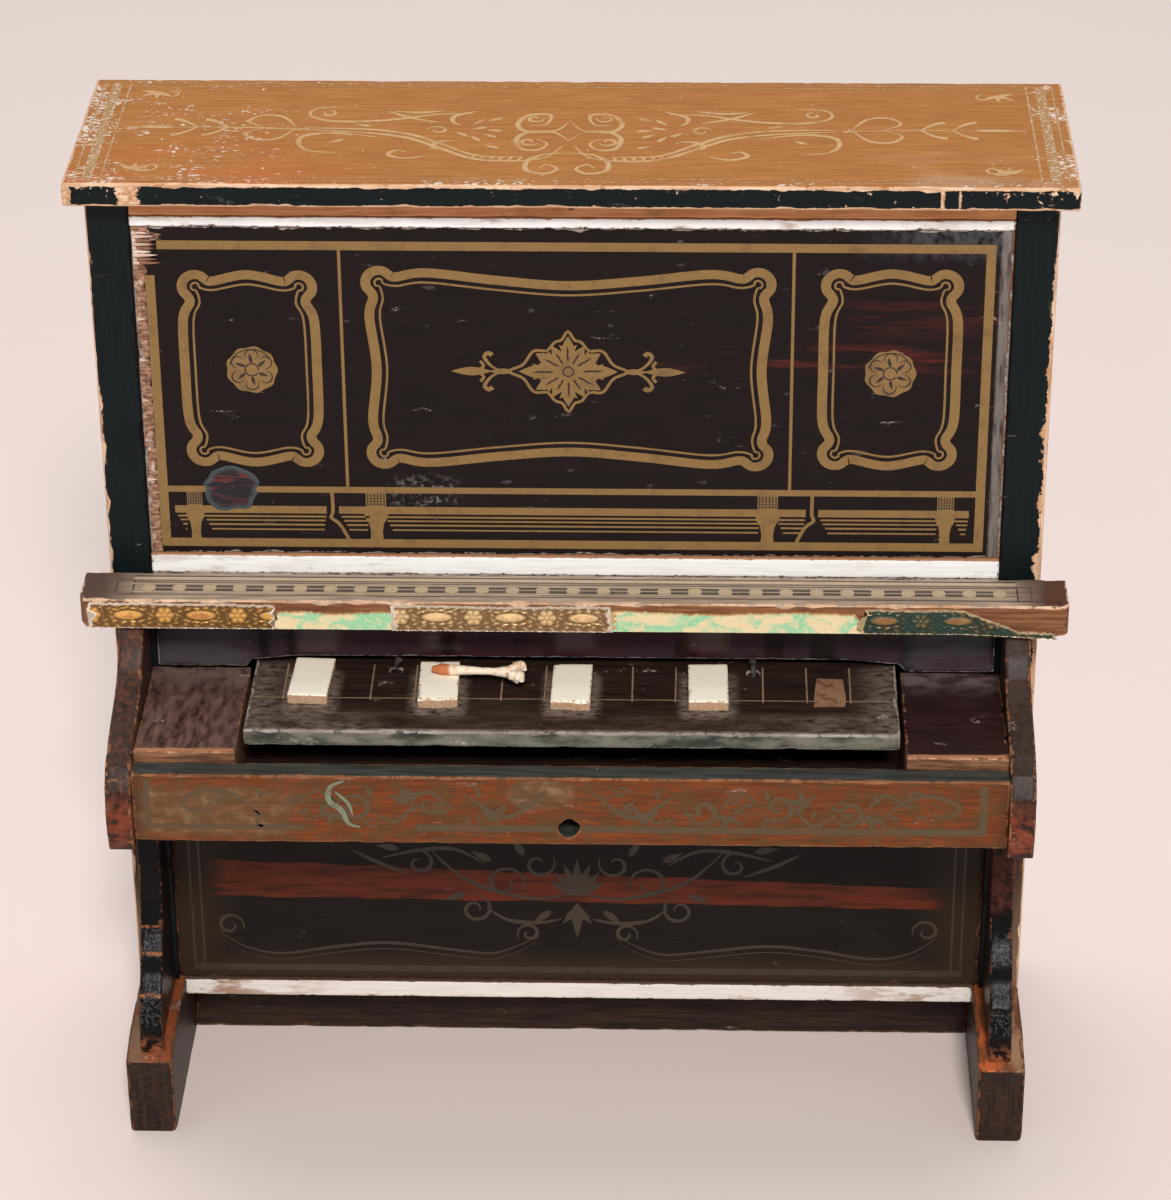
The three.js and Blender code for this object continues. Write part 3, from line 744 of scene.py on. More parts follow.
class Print:
    """Flat shapes collected into one mesh, lying a little above a plane.

    Each shape lies a hair higher than the one before, so that two that cross never share a plane.
    """

    LAYERS = 16
    LAYER = 0.0012
    LEAF_STEPS = 8
    LEAF_TIP = 0.03

    def __init__(self, plane, lift=0.02):
        self.plane, self.lift = plane, lift
        self.shapes = 0
        self.verts, self.faces = [], []

    def height(self):
        return self.lift + self.LAYER * (self.shapes % self.LAYERS)

    def strip(self, left, right, closed=False):
        """A ribbon between two lines with as many points each."""
        self.shapes += 1
        h = self.height()
        first, count = len(self.verts), len(left)
        for a, b in zip(left, right):
            self.verts += [self.plane.at(a[0], a[1], h), self.plane.at(b[0], b[1], h)]
        for i in range(count if closed else count - 1):
            a, b = first + 2 * i, first + 2 * ((i + 1) % count)
            self.faces.append((a, a + 1, b + 1, b))

    def line(self, points, width, closed=False, taper=None):
        """A line of one width, or one that thins out towards its ends."""
        pts = [Vector(p) for p in points]
        count = len(pts)
        left, right = [], []
        for i, p in enumerate(pts):
            after = pts[(i + 1) % count] if closed or i + 1 < count else p
            before = pts[i - 1] if closed or i > 0 else p
            along = (after - before).normalized()
            t = i / max(count - 1, 1)
            w = width if taper is None else width * taper(t)
            across = Vector((-along.y, along.x)) * w / 2
            left.append(p + across)
            right.append(p - across)
        self.strip(left, right, closed)

    def curve(self, points, width, closed=False, taper=None):
        self.line(smooth_path(points, closed), width, closed, taper)

    def bar(self, u0, u1, v0, v1):
        self.strip([(u0, v0), (u1, v0)], [(u0, v1), (u1, v1)])

    def frame(self, u0, u1, v0, v1, width):
        self.bar(u0, u1, v0, v0 + width)
        self.bar(u0, u1, v1 - width, v1)
        self.bar(u0, u0 + width, v0 + width, v1 - width)
        self.bar(u1 - width, u1, v0 + width, v1 - width)

    def fan(self, x, y, rim):
        """A flat shape that fills a rim round its middle x, y."""
        self.shapes += 1
        first, h = len(self.verts), self.height()
        self.verts.append(self.plane.at(x, y, h))
        self.verts += [self.plane.at(p[0], p[1], h) for p in rim]
        for i in range(len(rim)):
            self.faces.append((first, first + 1 + i, first + 1 + (i + 1) % len(rim)))

    def disc(self, x, y, radius, lobes=0, depth=0.0, count=36):
        rim = []
        for i in range(count):
            a = 2 * math.pi * i / count
            r = radius * (1 + depth * math.cos(lobes * a))
            rim.append((x + r * math.cos(a), y + r * math.sin(a)))
        self.fan(x, y, rim)

    def leaf(self, x, y, degrees, length, width, blunt=0.35):
        """A leaf from its foot at x, y, widest at a share of its length."""
        a = math.radians(degrees)
        ahead, across = Vector((math.cos(a), math.sin(a))), Vector((-math.sin(a), math.cos(a)))
        left, right = [], []
        for k in range(self.LEAF_STEPS + 1):
            t = k / self.LEAF_STEPS
            half = width / 2 * math.sin(math.pi * t ** (math.log(0.5) / math.log(blunt)))
            half = max(half, self.LEAF_TIP)
            p = Vector((x, y)) + ahead * length * t
            left.append(p + across * half)
            right.append(p - across * half)
        self.strip(left, right)

    def make(self, name, material, node):
        made = make_object(name, self.verts, self.faces, [material])
        for polygon in made.data.polygons:
            if polygon.normal.dot(self.plane.n) < 0:
                polygon.flip()
        return settle(made, node, replaces_it=False)


def thin_ends(t):
    return 0.25 + 0.75 * math.sin(math.pi * min(max(t, 0.02), 0.98))


def thin_start(t):
    return 0.3 + 0.7 * t


# ---- the boards ----

CARAMEL = ((0.44, 0.185, 0.046), (0.35, 0.135, 0.032))
BLACK = ((0.003, 0.0085, 0.010), (0.0015, 0.005, 0.0065))
ROSEWOOD = ((0.010, 0.0050, 0.0050), (0.006, 0.0032, 0.0032))
BLOCK_RED = ((0.040, 0.014, 0.014), (0.020, 0.008, 0.009))
RAIL_BROWN = ((0.215, 0.050, 0.010), (0.105, 0.030, 0.008))
RAIL_EDGE = ((0.056, 0.062, 0.055), (0.026, 0.026, 0.023))
LOWER_DARK = ((0.0105, 0.0065, 0.0050), (0.0060, 0.0040, 0.0032))
LEDGE_BROWN = ((0.54, 0.41, 0.30), (0.31, 0.22, 0.16))
STAIN = ((0.040, 0.020, 0.013), (0.014, 0.009, 0.008))
BLACK_STAIN = ((0.006, 0.0045, 0.004), (0.003, 0.0028, 0.003))
WORN_PALE = ((0.80, 0.56, 0.38), (0.50, 0.26, 0.13))
WORN_RED = ((0.30, 0.13, 0.055), (0.14, 0.055, 0.025))
WORN_DARK = ((0.19, 0.080, 0.036), (0.085, 0.034, 0.018))
WORN_GREY = ((0.42, 0.38, 0.33), (0.22, 0.17, 0.14))
DUST = (0.29, 0.225, 0.175)

RAISED_KEYS = [f"raised_key_{k}" for k in range(1, 5)]

# Zones paint patches at places in mm of the piano's own frame: x runs right from its middle, y runs back,
# and z runs up from the floor.


def lid_zones(g, tone):
    """A reddish tint at the front left, a haze at the front right, and scuffs mostly at the ends."""
    cloud = g.noise(7, 5, (2, 1, 1), shift=8.2)
    left_front = g.times(g.step(g.x, -12, -48), g.step(g.y, 16, -4), g.step(cloud, 0.42, 0.6), 0.5)
    tone = g.mix(left_front, tone, (0.50, 0.12, 0.032))
    right_front = g.times(g.step(g.x, 34, 46), g.step(g.y, 10, -4), g.step(cloud, 0.45, 0.7), 0.3)
    tone = g.mix(right_front, tone, (0.60, 0.44, 0.34))
    fleck = g.noise(0.50, 9, (1.7, 1, 1), shift=5.7, distortion=0.3)
    area = g.step(g.noise(5, 5, (1.5, 1, 1), shift=13.3), 0.40, 0.62)
    left = g.times(g.step(g.x, -20, -69), 0.64)
    ends = g.times(g.step(g.aside(), 61, 69.5), 0.8)
    front = g.times(g.step(g.y, -3.0, -6.6), 0.7)
    share = g.times(g.most(left, ends, front), area)
    scuffed = g.step(g.plus(fleck, g.times(share, 0.24)), 0.665, 0.725)
    return g.mix(g.times(scuffed, 0.8), tone, (0.80, 0.74, 0.66))


def lid_edge_zones(g, tone):
    """The black goes in bits near both ends, and is knocked off in a patch, a corner and two nicks."""
    flake = g.noise(1.1, 7, shift=2.1, distortion=0.5)
    rough = g.noise(0.7, 5, shift=7.4)
    near_end = g.times(g.step(g.x, 55, 71), 0.09)
    above = g.times(g.step(g.z, 148.6, 150.6), g.step(g.aside(), 48, 62))
    soft = g.plus(near_end, g.times(above, 0.10))
    bits = g.step(g.plus(flake, soft), 0.66, 0.69)
    knocks = g.most(
        g.span(g.x, -62.4, -59.4, 0.15, flake, 3.0),
        g.span(g.x, -70.5, -68.9, 0.15, flake, 2.5),
        g.span(g.x, 50.8, 51.4, 0.1, rough, 0.8),
        g.span(g.x, 53.3, 53.6, 0.1, rough, 0.6),
    )
    bare = g.most(bits, g.times(knocks, g.step(g.y, 0, -4)))
    return g.mix(bare, tone, g.mix(g.step(rough, 0.4, 0.6), *WORN_PALE))


STILE_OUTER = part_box("side_right")[1].x / MM
ARMS_END = (57, 60)


def stile_wear(g):
    """The stiles are worn along their outer corners, and most of all low on the right one."""
    outer = g.step(g.aside(), 64.5, 65.5)
    low_right = g.times(g.step(g.x, 0, 1), g.step(g.z, 140, 128), g.step(g.z, *ARMS_END))
    patchy = g.step(g.noise(6, 4, shift=2.9), 0.50, 0.62)
    above = g.plus(0.15, g.times(g.step(g.z, 55, 60), 0.85))
    return g.times(outer, g.most(g.times(patchy, 0.8), low_right), above)


def stile_zones(g, tone):
    """Brown below the arms, and chipped to bare wood down the outer corner of the right one."""
    flake = g.noise(2.0, 8, (1, 1, 1.4), shift=6.2, distortion=0.4)
    cloud = g.noise(2.5, 6, ALONG_Z, shift=1.2)
    low = g.times(g.step(g.z, 59, 57), g.step(g.aside(), 64.2, 65.0))
    brown = g.mix(g.step(g.z, 40, 20), (0.060, 0.030, 0.019), (0.21, 0.125, 0.072))
    tone = g.mix(low, tone, g.mix(g.step(cloud, 0.4, 0.7), brown, (0.045, 0.022, 0.014)))
    reach = g.plus(g.x, g.sway(flake, 5.0))
    chips = g.times(g.step(reach, STILE_OUTER - 0.75, STILE_OUTER - 0.55), g.step(g.z, 132, 126),
                    g.step(g.z, *ARMS_END))
    return g.mix(chips, tone, g.mix(g.step(cloud, 0.35, 0.6), *WORN_PALE))


def upper_panel_zones(g, tone):
    """Torn down the left edge, grey down the right one, partly its bare border and partly a painted
    highlight in upright streaks, with red showing in a few streaks.
    """
    ragged = g.noise(1.2, 6, (1, 1, 1.6), shift=4.1)
    fibre = g.noise(0.5, 6, (3, 1, 1), shift=6.6)
    streak = g.noise(1.6, 6, (10, 1, 1), shift=9.4)
    low = g.span(g.z, 120.5, 124.0, 1.4)
    red = g.times(g.step(streak, 0.52, 0.64), low, g.step(g.x, 6, 22), g.step(g.x, 60, 54))
    high = g.times(g.step(streak, 0.50, 0.6), g.span(g.z, 126, 134, 2.0), g.step(g.x, 36, 42))
    red = g.most(red, g.times(high, 0.35))
    tone = g.mix(red, tone, (0.076, 0.012, 0.009))
    dust = g.times(g.step(g.noise(2.5, 8, (2, 1, 1), shift=12.5), 0.63, 0.73), 0.35)
    speck = g.step(g.noise(0.7, 8, shift=2.4), 0.50, 0.60)
    spill = g.times(g.span(g.x, -25.5, -17.5, 2.0), g.span(g.z, 97.5, 102.5, 1.5), speck)
    tone = g.mix(g.most(dust, g.times(spill, 0.7)), tone, (0.20, 0.18, 0.18))
    haze = g.times(g.step(g.x, 38, 54), g.step(g.z, 136.5, 140), g.step(ragged, 0.35, 0.6), 0.55)
    tone = g.mix(haze, tone, (0.10, 0.105, 0.115))
    wander = g.sway(ragged, 2.4)
    fingers = g.sway(g.noise(0.9, 5, (5, 1, 1), shift=8.3), 9.0)
    corner = g.times(g.step(g.plus(g.x, fingers), -58.9, -59.4), g.step(g.plus(g.z, wander), 136.6, 137.0))
    torn = g.most(g.step(g.plus(g.x, wander), -59.9, -60.2), corner)
    splinter = g.mix(g.step(fibre, 0.38, 0.62), (0.42, 0.235, 0.150), (0.15, 0.066, 0.040))
    splinter = g.mix(g.step(ragged, 0.56, 0.66), splinter, (0.60, 0.48, 0.39))
    tone = g.mix(torn, tone, splinter)
    # painted highlight: grey upright streaks along the right edge's bevel, over its bare grey border
    upright = g.noise(0.45, 6, (1, 1, 9), shift=3.3)
    rubbed = g.times(g.step(g.plus(g.x, g.times(wander, 0.2)), 59.7, 60.1), g.step(upright, 0.22, 0.60))
    tone = g.mix(g.times(rubbed, 0.7), tone, (0.25, 0.215, 0.195))
    return g.mix(g.step(g.x, 61.15, 61.35), tone, (0.17, 0.070, 0.038))


BAND_MIDDLE, BAND_SLOPE = 32.3, 0.0244
BAND_HALF, BAND_TAPER = 2.55, 0.0125


def lower_panel_zones(g, tone):
    """A red band across the panel, and olive-brown towards the frame of the print."""
    streak = g.noise(1.0, 7, (8, 1, 1), shift=2.6)
    middle = g.minus(BAND_MIDDLE, g.times(g.x, BAND_SLOPE))
    half = g.minus(BAND_HALF, g.times(g.x, BAND_TAPER))
    off = g.math("ABSOLUTE", g.math("DIVIDE", g.minus(g.z, middle), half))
    off = g.plus(off, g.sway(streak, 0.5))
    ends = g.step(g.plus(g.aside(), g.times(streak, 4)), 59, 55)
    band = g.times(g.step(off, 1.06, 0.94), ends)
    red = g.mix(g.step(streak, 0.40, 0.70), (0.125, 0.023, 0.008), (0.045, 0.012, 0.006))
    olive = g.most(g.step(g.aside(), 50, 60), g.step(g.z, 22, 17))
    tone = g.mix(g.times(olive, 0.7), tone, (0.040, 0.024, 0.013))
    return g.mix(band, tone, red)


def rail_zones(g, tone):
    """Olive remains of the print's ground, rubbed to pale wood at the left and above the middle."""
    ground = g.noise(1.6, 9, (1.8, 1, 1), shift=3.7, distortion=0.4)
    tone = g.mix(g.times(g.step(ground, 0.44, 0.58), 0.7), tone, (0.088, 0.050, 0.018))
    fleck = g.noise(1.6, 12, (1.6, 1, 1), shift=5.1, distortion=0.2)
    left = g.times(g.step(g.x, -36, -45), g.step(g.z, 58.6, 61.0), g.step(g.z, 68.8, 66.0))
    across = g.math("DIVIDE", g.plus(g.x, 4.0), 5.0)
    above = g.math("DIVIDE", g.minus(g.z, 67.0), 2.6)
    spot = g.plus(g.times(across, across), g.times(above, above))
    patch = g.most(g.times(left, 0.85), g.step(spot, 1.3, 0.4))
    tone = g.mix(g.times(patch, 0.55), tone, (0.115, 0.070, 0.032))
    pale = g.times(patch, g.step(fleck, 0.40, 0.76), 0.55)
    tone = g.mix(pale, tone, (0.33, 0.215, 0.125))
    ends = g.step(g.aside(), 60.2, 62.2)
    return g.mix(g.times(ends, 0.6), tone, (0.07, 0.028, 0.016))


def ledge_zones(g, tone):
    """Rubbed to dark brown towards the ends, and worn bare at the right one."""
    ends = g.times(g.step(g.aside(), 61, 69), 0.93)
    tone = g.mix(ends, tone, (0.075, 0.038, 0.024))
    bare = g.step(g.plus(g.x, g.times(g.noise(2, 5), 3)), 68.6, 70.4)
    return g.mix(bare, tone, (0.10, 0.042, 0.020))


def keyboard_zones(g, tone):
    """Dust on the front strip and round each raised key, and a greenish front edge."""
    cloud = g.noise(3.6, 7, (2.4, 1, 1), shift=6.3)
    halo = 0.0
    for node in RAISED_KEYS:
        low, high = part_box(node)
        middle = (low.x + high.x) / 2 / MM
        away = g.math("ABSOLUTE", g.minus(g.x, middle))
        halo = g.most(halo, g.step(away, 5.0, 3.1))
    grain = g.noise(0.8, 8, (2, 1, 1), shift=9.1)
    settled = g.times(g.step(cloud, 0.30, 0.64), g.step(grain, 0.25, 0.62))
    behind = g.step(g.y, 0.0, -3.0)
    share = g.plus(0.18, g.times(g.step(g.aside(), 22, 40), 0.34))
    strip = g.times(g.span(g.y, -20.5, -15.4, 1.2), settled, share)
    line = g.times(g.step(g.y, -19.6, -20.3), g.step(grain, 0.30, 0.55), 0.6)
    close = g.times(g.span(g.y, -16.5, -4.0, 1.5), halo, g.step(grain, 0.30, 0.62), 0.62)
    ends = g.times(g.step(g.aside(), 39, 46), behind, g.step(grain, 0.28, 0.64), 0.52)
    tone = g.mix(g.most(strip, line, close, ends), tone, DUST)
    front = g.step(g.y, -20.45, -20.65)
    edge_tone = g.mix(g.step(cloud, 0.42, 0.66), (0.058, 0.062, 0.052), (0.27, 0.25, 0.19))
    return g.mix(front, tone, edge_tone)


def block_zones(g, tone):
    """Dust at the back of the blocks, a painted sheen in fine streaks on the left one, and pale wood along
    their front ends.
    """
    cloud = g.noise(2.6, 7, (1.5, 1, 1), shift=4.9)
    dust = g.times(g.step(g.y, -10, -3), g.step(cloud, 0.40, 0.62), 0.7)
    tone = g.mix(dust, tone, (0.17, 0.14, 0.12))
    # painted sheen: a lighter reddish brown in fine streaks over the left block stands for its gloss
    painted_sheen = g.times(g.step(g.x, 1, -1), g.step(g.noise(1.1, 10, (1, 3.2, 1), shift=1.9), 0.28, 0.70), 0.8)
    tone = g.mix(painted_sheen, tone, (0.210, 0.118, 0.096))
    front = g.step(g.plus(g.y, g.times(cloud, 0.8)), -24.4, -24.9)
    return g.mix(front, tone, (0.40, 0.17, 0.085))


def nameboard_zones(g, tone):
    """Grey with dust at both ends, red-brown in the middle, with faint upright bars of painted reflection.
    """
    cloud = g.noise(4, 6, (2.5, 1, 1), shift=7.2)
    ends = g.times(g.step(g.aside(), 40, 54), g.step(cloud, 0.38, 0.62), 0.8)
    # painted reflection: faint lighter upright bars across the glossy nameboard
    painted_reflection_bars = g.noise(7, 1, (1, 60, 60), shift=2.2)
    tone = g.mix(g.times(g.step(painted_reflection_bars, 0.44, 0.50), 0.7), tone, (0.055, 0.028, 0.036))
    reddish = g.times(g.step(g.aside(), 46, 20), g.step(cloud, 0.4, 0.6), 0.6)
    tone = g.mix(reddish, tone, (0.060, 0.012, 0.014))
    return g.mix(ends, tone, (0.070, 0.062, 0.062))


def arm_zones(g, tone):
    """Grey-brown glaze on the upper slopes and red-brown wood showing lower down."""
    cloud = g.noise(2.2, 7, (1, 1, 0.7), shift=5.5)
    tone = g.mix(g.times(g.step(g.z, 68, 74), g.step(cloud, 0.34, 0.60), 0.6), tone, (0.062, 0.036, 0.027))
    low = g.times(g.step(g.z, 68, 64), g.step(g.z, 57.5, 59), g.step(cloud, 0.38, 0.58))
    tone = g.mix(low, tone, (0.19, 0.042, 0.017))
    left = g.step(g.x, 1, -1)
    brown = g.times(left, g.step(g.noise(0.8, 8, ALONG_Z, shift=4.2), 0.46, 0.64), 0.6)
    tone = g.mix(brown, tone, (0.15, 0.042, 0.018))
    crack = g.plus(g.noise(1.1, 6, (6, 6, 0.7), shift=9.9), g.times(left, 0.03))
    return g.mix(g.step(crack, 0.66, 0.72), tone, (0.36, 0.15, 0.070))


def leg_zones(g, tone):
    """Red-brown high on the right leg, cracks round the left, painted sheen as grey specks on the front
    slopes, worn toes.
    """
    cloud = g.noise(1.6, 7, shift=5.9)
    right = g.step(g.x, 0, 1)
    band = g.times(g.span(g.z, 34.5, 54.0, 0.8), right, g.step(cloud, 0.36, 0.60), 0.85)
    tone = g.mix(band, tone, (0.085, 0.020, 0.014))
    facets = g.most(g.span(g.z, 27.0, 31.0, 0.6), g.span(g.z, 18.0, 24.8, 0.8))
    front = g.facing("Y", -1)
    # painted sheen: grey specks on the front faces of the slopes stand for their glossy sparkle
    specks = g.times(g.step(g.noise(0.45, 6, shift=8.8), 0.50, 0.60), facets, front, 0.42)
    tone = g.mix(specks, tone, (0.115, 0.115, 0.12))
    level = g.plus(g.z, g.times(cloud, 0.8))
    rings = 0.0
    for height in (22.6, 27.8, 31.2):
        rings = g.most(rings, g.span(level, height, height + 0.35, 0.12))
    left = g.minus(1.0, right)
    rings = g.times(rings, left, front, g.step(g.noise(0.8, 5, shift=3.6), 0.40, 0.52), 0.85)
    tone = g.mix(rings, tone, (0.36, 0.12, 0.045))
    toe = g.times(g.step(g.z, 17.0, 14.5), g.step(cloud, 0.44, 0.60))
    return g.mix(toe, tone, (0.26, 0.080, 0.032))


def foot_zones(g, tone):
    """Raw wood on the tops, orange beside the legs' inner sides and tan beside their outer ones."""
    cloud = g.noise(2.2, 7, (1, 3, 1), shift=6.9)
    top = g.facing("Z", 1)
    outer = g.step(g.aside(), 64.0, 66.0)
    right = g.step(g.x, 0, 1)
    red = g.times(g.step(g.noise(1.2, 8, (1, 1, 0.5), shift=3.3), 0.5, 0.66), 0.6)
    tone = g.mix(red, tone, (0.075, 0.030, 0.020))
    raw = g.mix(outer, (0.50, 0.115, 0.030), (0.32, 0.175, 0.095))
    raw = g.mix(g.step(cloud, 0.42, 0.64), raw, (0.16, 0.055, 0.026))
    share = g.most(right, g.plus(0.45, g.times(g.step(cloud, 0.40, 0.60), 0.4)))
    return g.mix(g.times(top, share), tone, raw)


def make_lid():
    top = coated_wood("lid_caramel", CARAMEL, bare=WORN_PALE, wear=0.14, ragged=0.5, gloss=0.34,
                      scuffs=0.15, zones=lid_zones, bump=0.03)
    edge = coated_wood("lid_black_edge", BLACK, bare=WORN_PALE, wear=0.12, ragged=0.55, scuffs=0.1,
                       zones=lid_edge_zones)
    worn_board("lid", "top", top, edge, chip=0.35, radius=0.3, seed=1)


def make_sides():
    stile = coated_wood("stile_black", BLACK, ALONG_Z, bare=WORN_PALE, wear=0.35, worn_where=stile_wear,
                        zones=stile_zones)
    flank = coated_wood("flank_caramel", CARAMEL, ALONG_Z, bare=WORN_PALE, wear=0.25)
    inner = coated_wood("flank_inner", BLACK_STAIN, ALONG_Z, bare=BLACK_STAIN)
    worn_board("side_left", "side", inner, stile, back=flank, seed=2)
    worn_board("side_right", "side", flank, stile, back=inner, seed=3)


def make_panels():
    upper = coated_wood("upper_rosewood", ROSEWOOD, bare=WORN_GREY, wear=0.04, ragged=0.5, gloss=0.3,
                        scuffs=0.4, zones=upper_panel_zones, bump=0.03)
    worn_board("upper_panel", "front", upper, upper, seed=4)
    name = coated_wood("nameboard_gloss", ROSEWOOD, bare=WORN_GREY, wear=0.02, ragged=0.3, gloss=0.16,
                       zones=nameboard_zones, specular=0.35)
    worn_board("nameboard", "front", name, name, carved=True, chip=0.2, seed=5)
    lower = coated_wood("lower_rosewood", LOWER_DARK, bare=WORN_DARK, wear=0.0, ragged=0.3, scuffs=0.1,
                        zones=lower_panel_zones, bump=0.03)
    worn_board("lower_panel", "front", lower, lower, seed=6)


def make_front_rail():
    rail = coated_wood("rail_redwood", RAIL_BROWN, bare=WORN_RED, wear=0.10, zones=rail_zones, bump=0.04)
    edge = coated_wood("rail_edge", RAIL_EDGE, bare=WORN_RED, wear=0.12, ragged=0.5)
    worn_board("front_rail", "front", rail, edge, holes=[round_hole(0, 61.2, 1.5, 0.3)], reach=0.6, seed=7)


def make_music_ledge():
    ledge = coated_wood("ledge_brown", LEDGE_BROWN, bare=WORN_PALE, wear=0.05, ragged=0.6, scuffs=0.3,
                        zones=ledge_zones, bump=0.04)
    raw = bare_wood("raw_pine", (0.30, 0.125, 0.050), (0.14, 0.047, 0.020))
    worn_board("music_ledge", "top", ledge, raw, carved=True, seed=8)


def make_key_blocks_and_supports():
    block = coated_wood("block_red", BLOCK_RED, bare=WORN_RED, wear=0.0, ragged=0.5, gloss=0.22,
                        scuffs=0.5, zones=block_zones, specular=0.45, bump=0.03)
    block_end = bare_wood("block_end_wood", (0.34, 0.16, 0.075), (0.085, 0.032, 0.018), dirt=0.7)
    arm = coated_wood("stain_upright", STAIN, ALONG_Z, bare=WORN_RED, wear=0.0, ragged=0.7, gloss=0.34,
                      zones=arm_zones, specular=0.15)
    leg = coated_wood("leg_stain", BLACK_STAIN, ALONG_Z, bare=WORN_DARK, wear=-0.04, ragged=0.5, gloss=0.22,
                      scuffs=0.05, zones=leg_zones, specular=0.11, bump=0.16)
    foot = coated_wood("foot_stain", STAIN, ALONG_Z, bare=WORN_DARK, wear=0.05, ragged=0.7,
                       zones=foot_zones)
    for side in ("left", "right"):
        worn_board(f"key_block_{side}", "top", block, block_end, seed=9)
        worn_board(f"arm_{side}", "side", arm, arm, carved=True, seed=10)
        worn_board(f"leg_{side}", "side", leg, leg, carved=True, seed=11)
        worn_board(f"foot_{side}", "side", foot, foot, carved=True, seed=12)


def make_key_bed_and_keyboard(stain):
    worn_board("key_bed", "top", stain, stain, seed=13)
    finish = coated_wood("keyboard_stain", STAIN, bare=WORN_GREY, wear=0.10, ragged=0.8, scuffs=0.6,
                         zones=keyboard_zones, bump=0.03)
    pin_holes = [round_hole(side * 26.3, 17.4, 0.85) for side in (-1, 1)]
    worn_board("keyboard_board", "top", finish, finish, holes=pin_holes, seed=14)


def make_white_strips():
    white = painted_white("white_strip", (0.97, 0.97, 0.94), 0.35, (0.42, 0.20, 0.095))
    worn_board("white_strip_top", "front", white, white, chip=0.2, seed=15)
    worn_board("white_strip_middle", "front", white, white, chip=0.2, seed=16)
    stained = painted_white("white_strip_stained", (0.82, 0.76, 0.69), 0.95, (0.085, 0.045, 0.028))
    worn_board("white_strip_bottom", "front", stained, stained, chip=0.3, seed=17)


def make_top_rail():
    pine = bare_wood("top_rail_pine", (0.74, 0.34, 0.145), (0.52, 0.21, 0.080))
    worn_board("top_rail", "front", pine, pine, holes=[round_hole(0, 145.65, 0.5)], reach=0.5, seed=18)


def make_back_and_floor(stain):
    worn_board("back_board", "front", stain, stain, seed=19)
    worn_board("floor_board", "top", stain, stain, seed=20)
    worn_board("kick_rail", "front", stain, stain, seed=21)


# ---- the upper panel's transfer ----

LOBE = 2.6
BAND = 1.4
FINE = 0.32


def cartouche(art, u, v, half_u, half_v, dip, bow):
    """A banded frame with round lobes at its corners and a fine line looping inside it.

    dip is how far its long edges sag towards the middle, and bow how far its short edges do.
    """
    for inset, lobe, width, notch, first, last in (
        (BAND / 2, LOBE - BAND / 2, BAND, 1.0, -55, 145),
        (BAND + 0.78, 0.62, FINE, 0.9, -100, 190),
    ):
        side, top = half_u - inset, half_v - inset
        quarter = [(side - bow * 0.35, half_v * 0.5), (side - notch, half_v - 2 * LOBE + 0.1)]
        for k in range(7):
            angle = math.radians(first + (last - first) * k / 6)
            quarter.append((half_u - LOBE + lobe * math.cos(angle), half_v - LOBE + lobe * math.sin(angle)))
        quarter.append((half_u - 2 * LOBE + 0.1, top - notch))
        if half_u > 15:
            quarter += [(half_u * 0.68, top - 0.35), (half_u * 0.34, top - 0.35 - dip * 0.5)]
        loop = [(side - bow, 0.0)] + quarter + [(0.0, top - dip)]
        loop += placed(reversed(quarter), sign=-1) + [(bow - side, 0.0)]
        loop += placed(quarter, sign=-1, rise=-1) + [(0.0, dip - top)]
        loop += placed(reversed(quarter), rise=-1)
        art.curve(placed(loop, u, v), width, closed=True)


def rosette(art, shade, u, v, radius, petals=6):
    art.disc(u, v, radius, lobes=9, depth=0.035, count=54)
    for k in range(petals):
        angle = 2 * math.pi * (k + 0.5) / petals
        x, y = u + radius * 0.62 * math.cos(angle), v + radius * 0.62 * math.sin(angle)
        arc = spiral(x, y, radius * 0.27, radius * 0.25, math.degrees(angle) - 120, 0.66)
        shade.curve(arc, 0.22, taper=thin_ends)
        shade.leaf(u + radius * 0.3 * math.cos(angle), v + radius * 0.3 * math.sin(angle),
                   math.degrees(angle) + 12, radius * 0.42, 0.5)
    shade.line(spiral(u, v, radius * 0.27, radius * 0.27, 0, 0.9), 0.2)
    shade.line(spiral(u, v, radius * 0.9, radius * 0.9, 40, 0.35), 0.16)


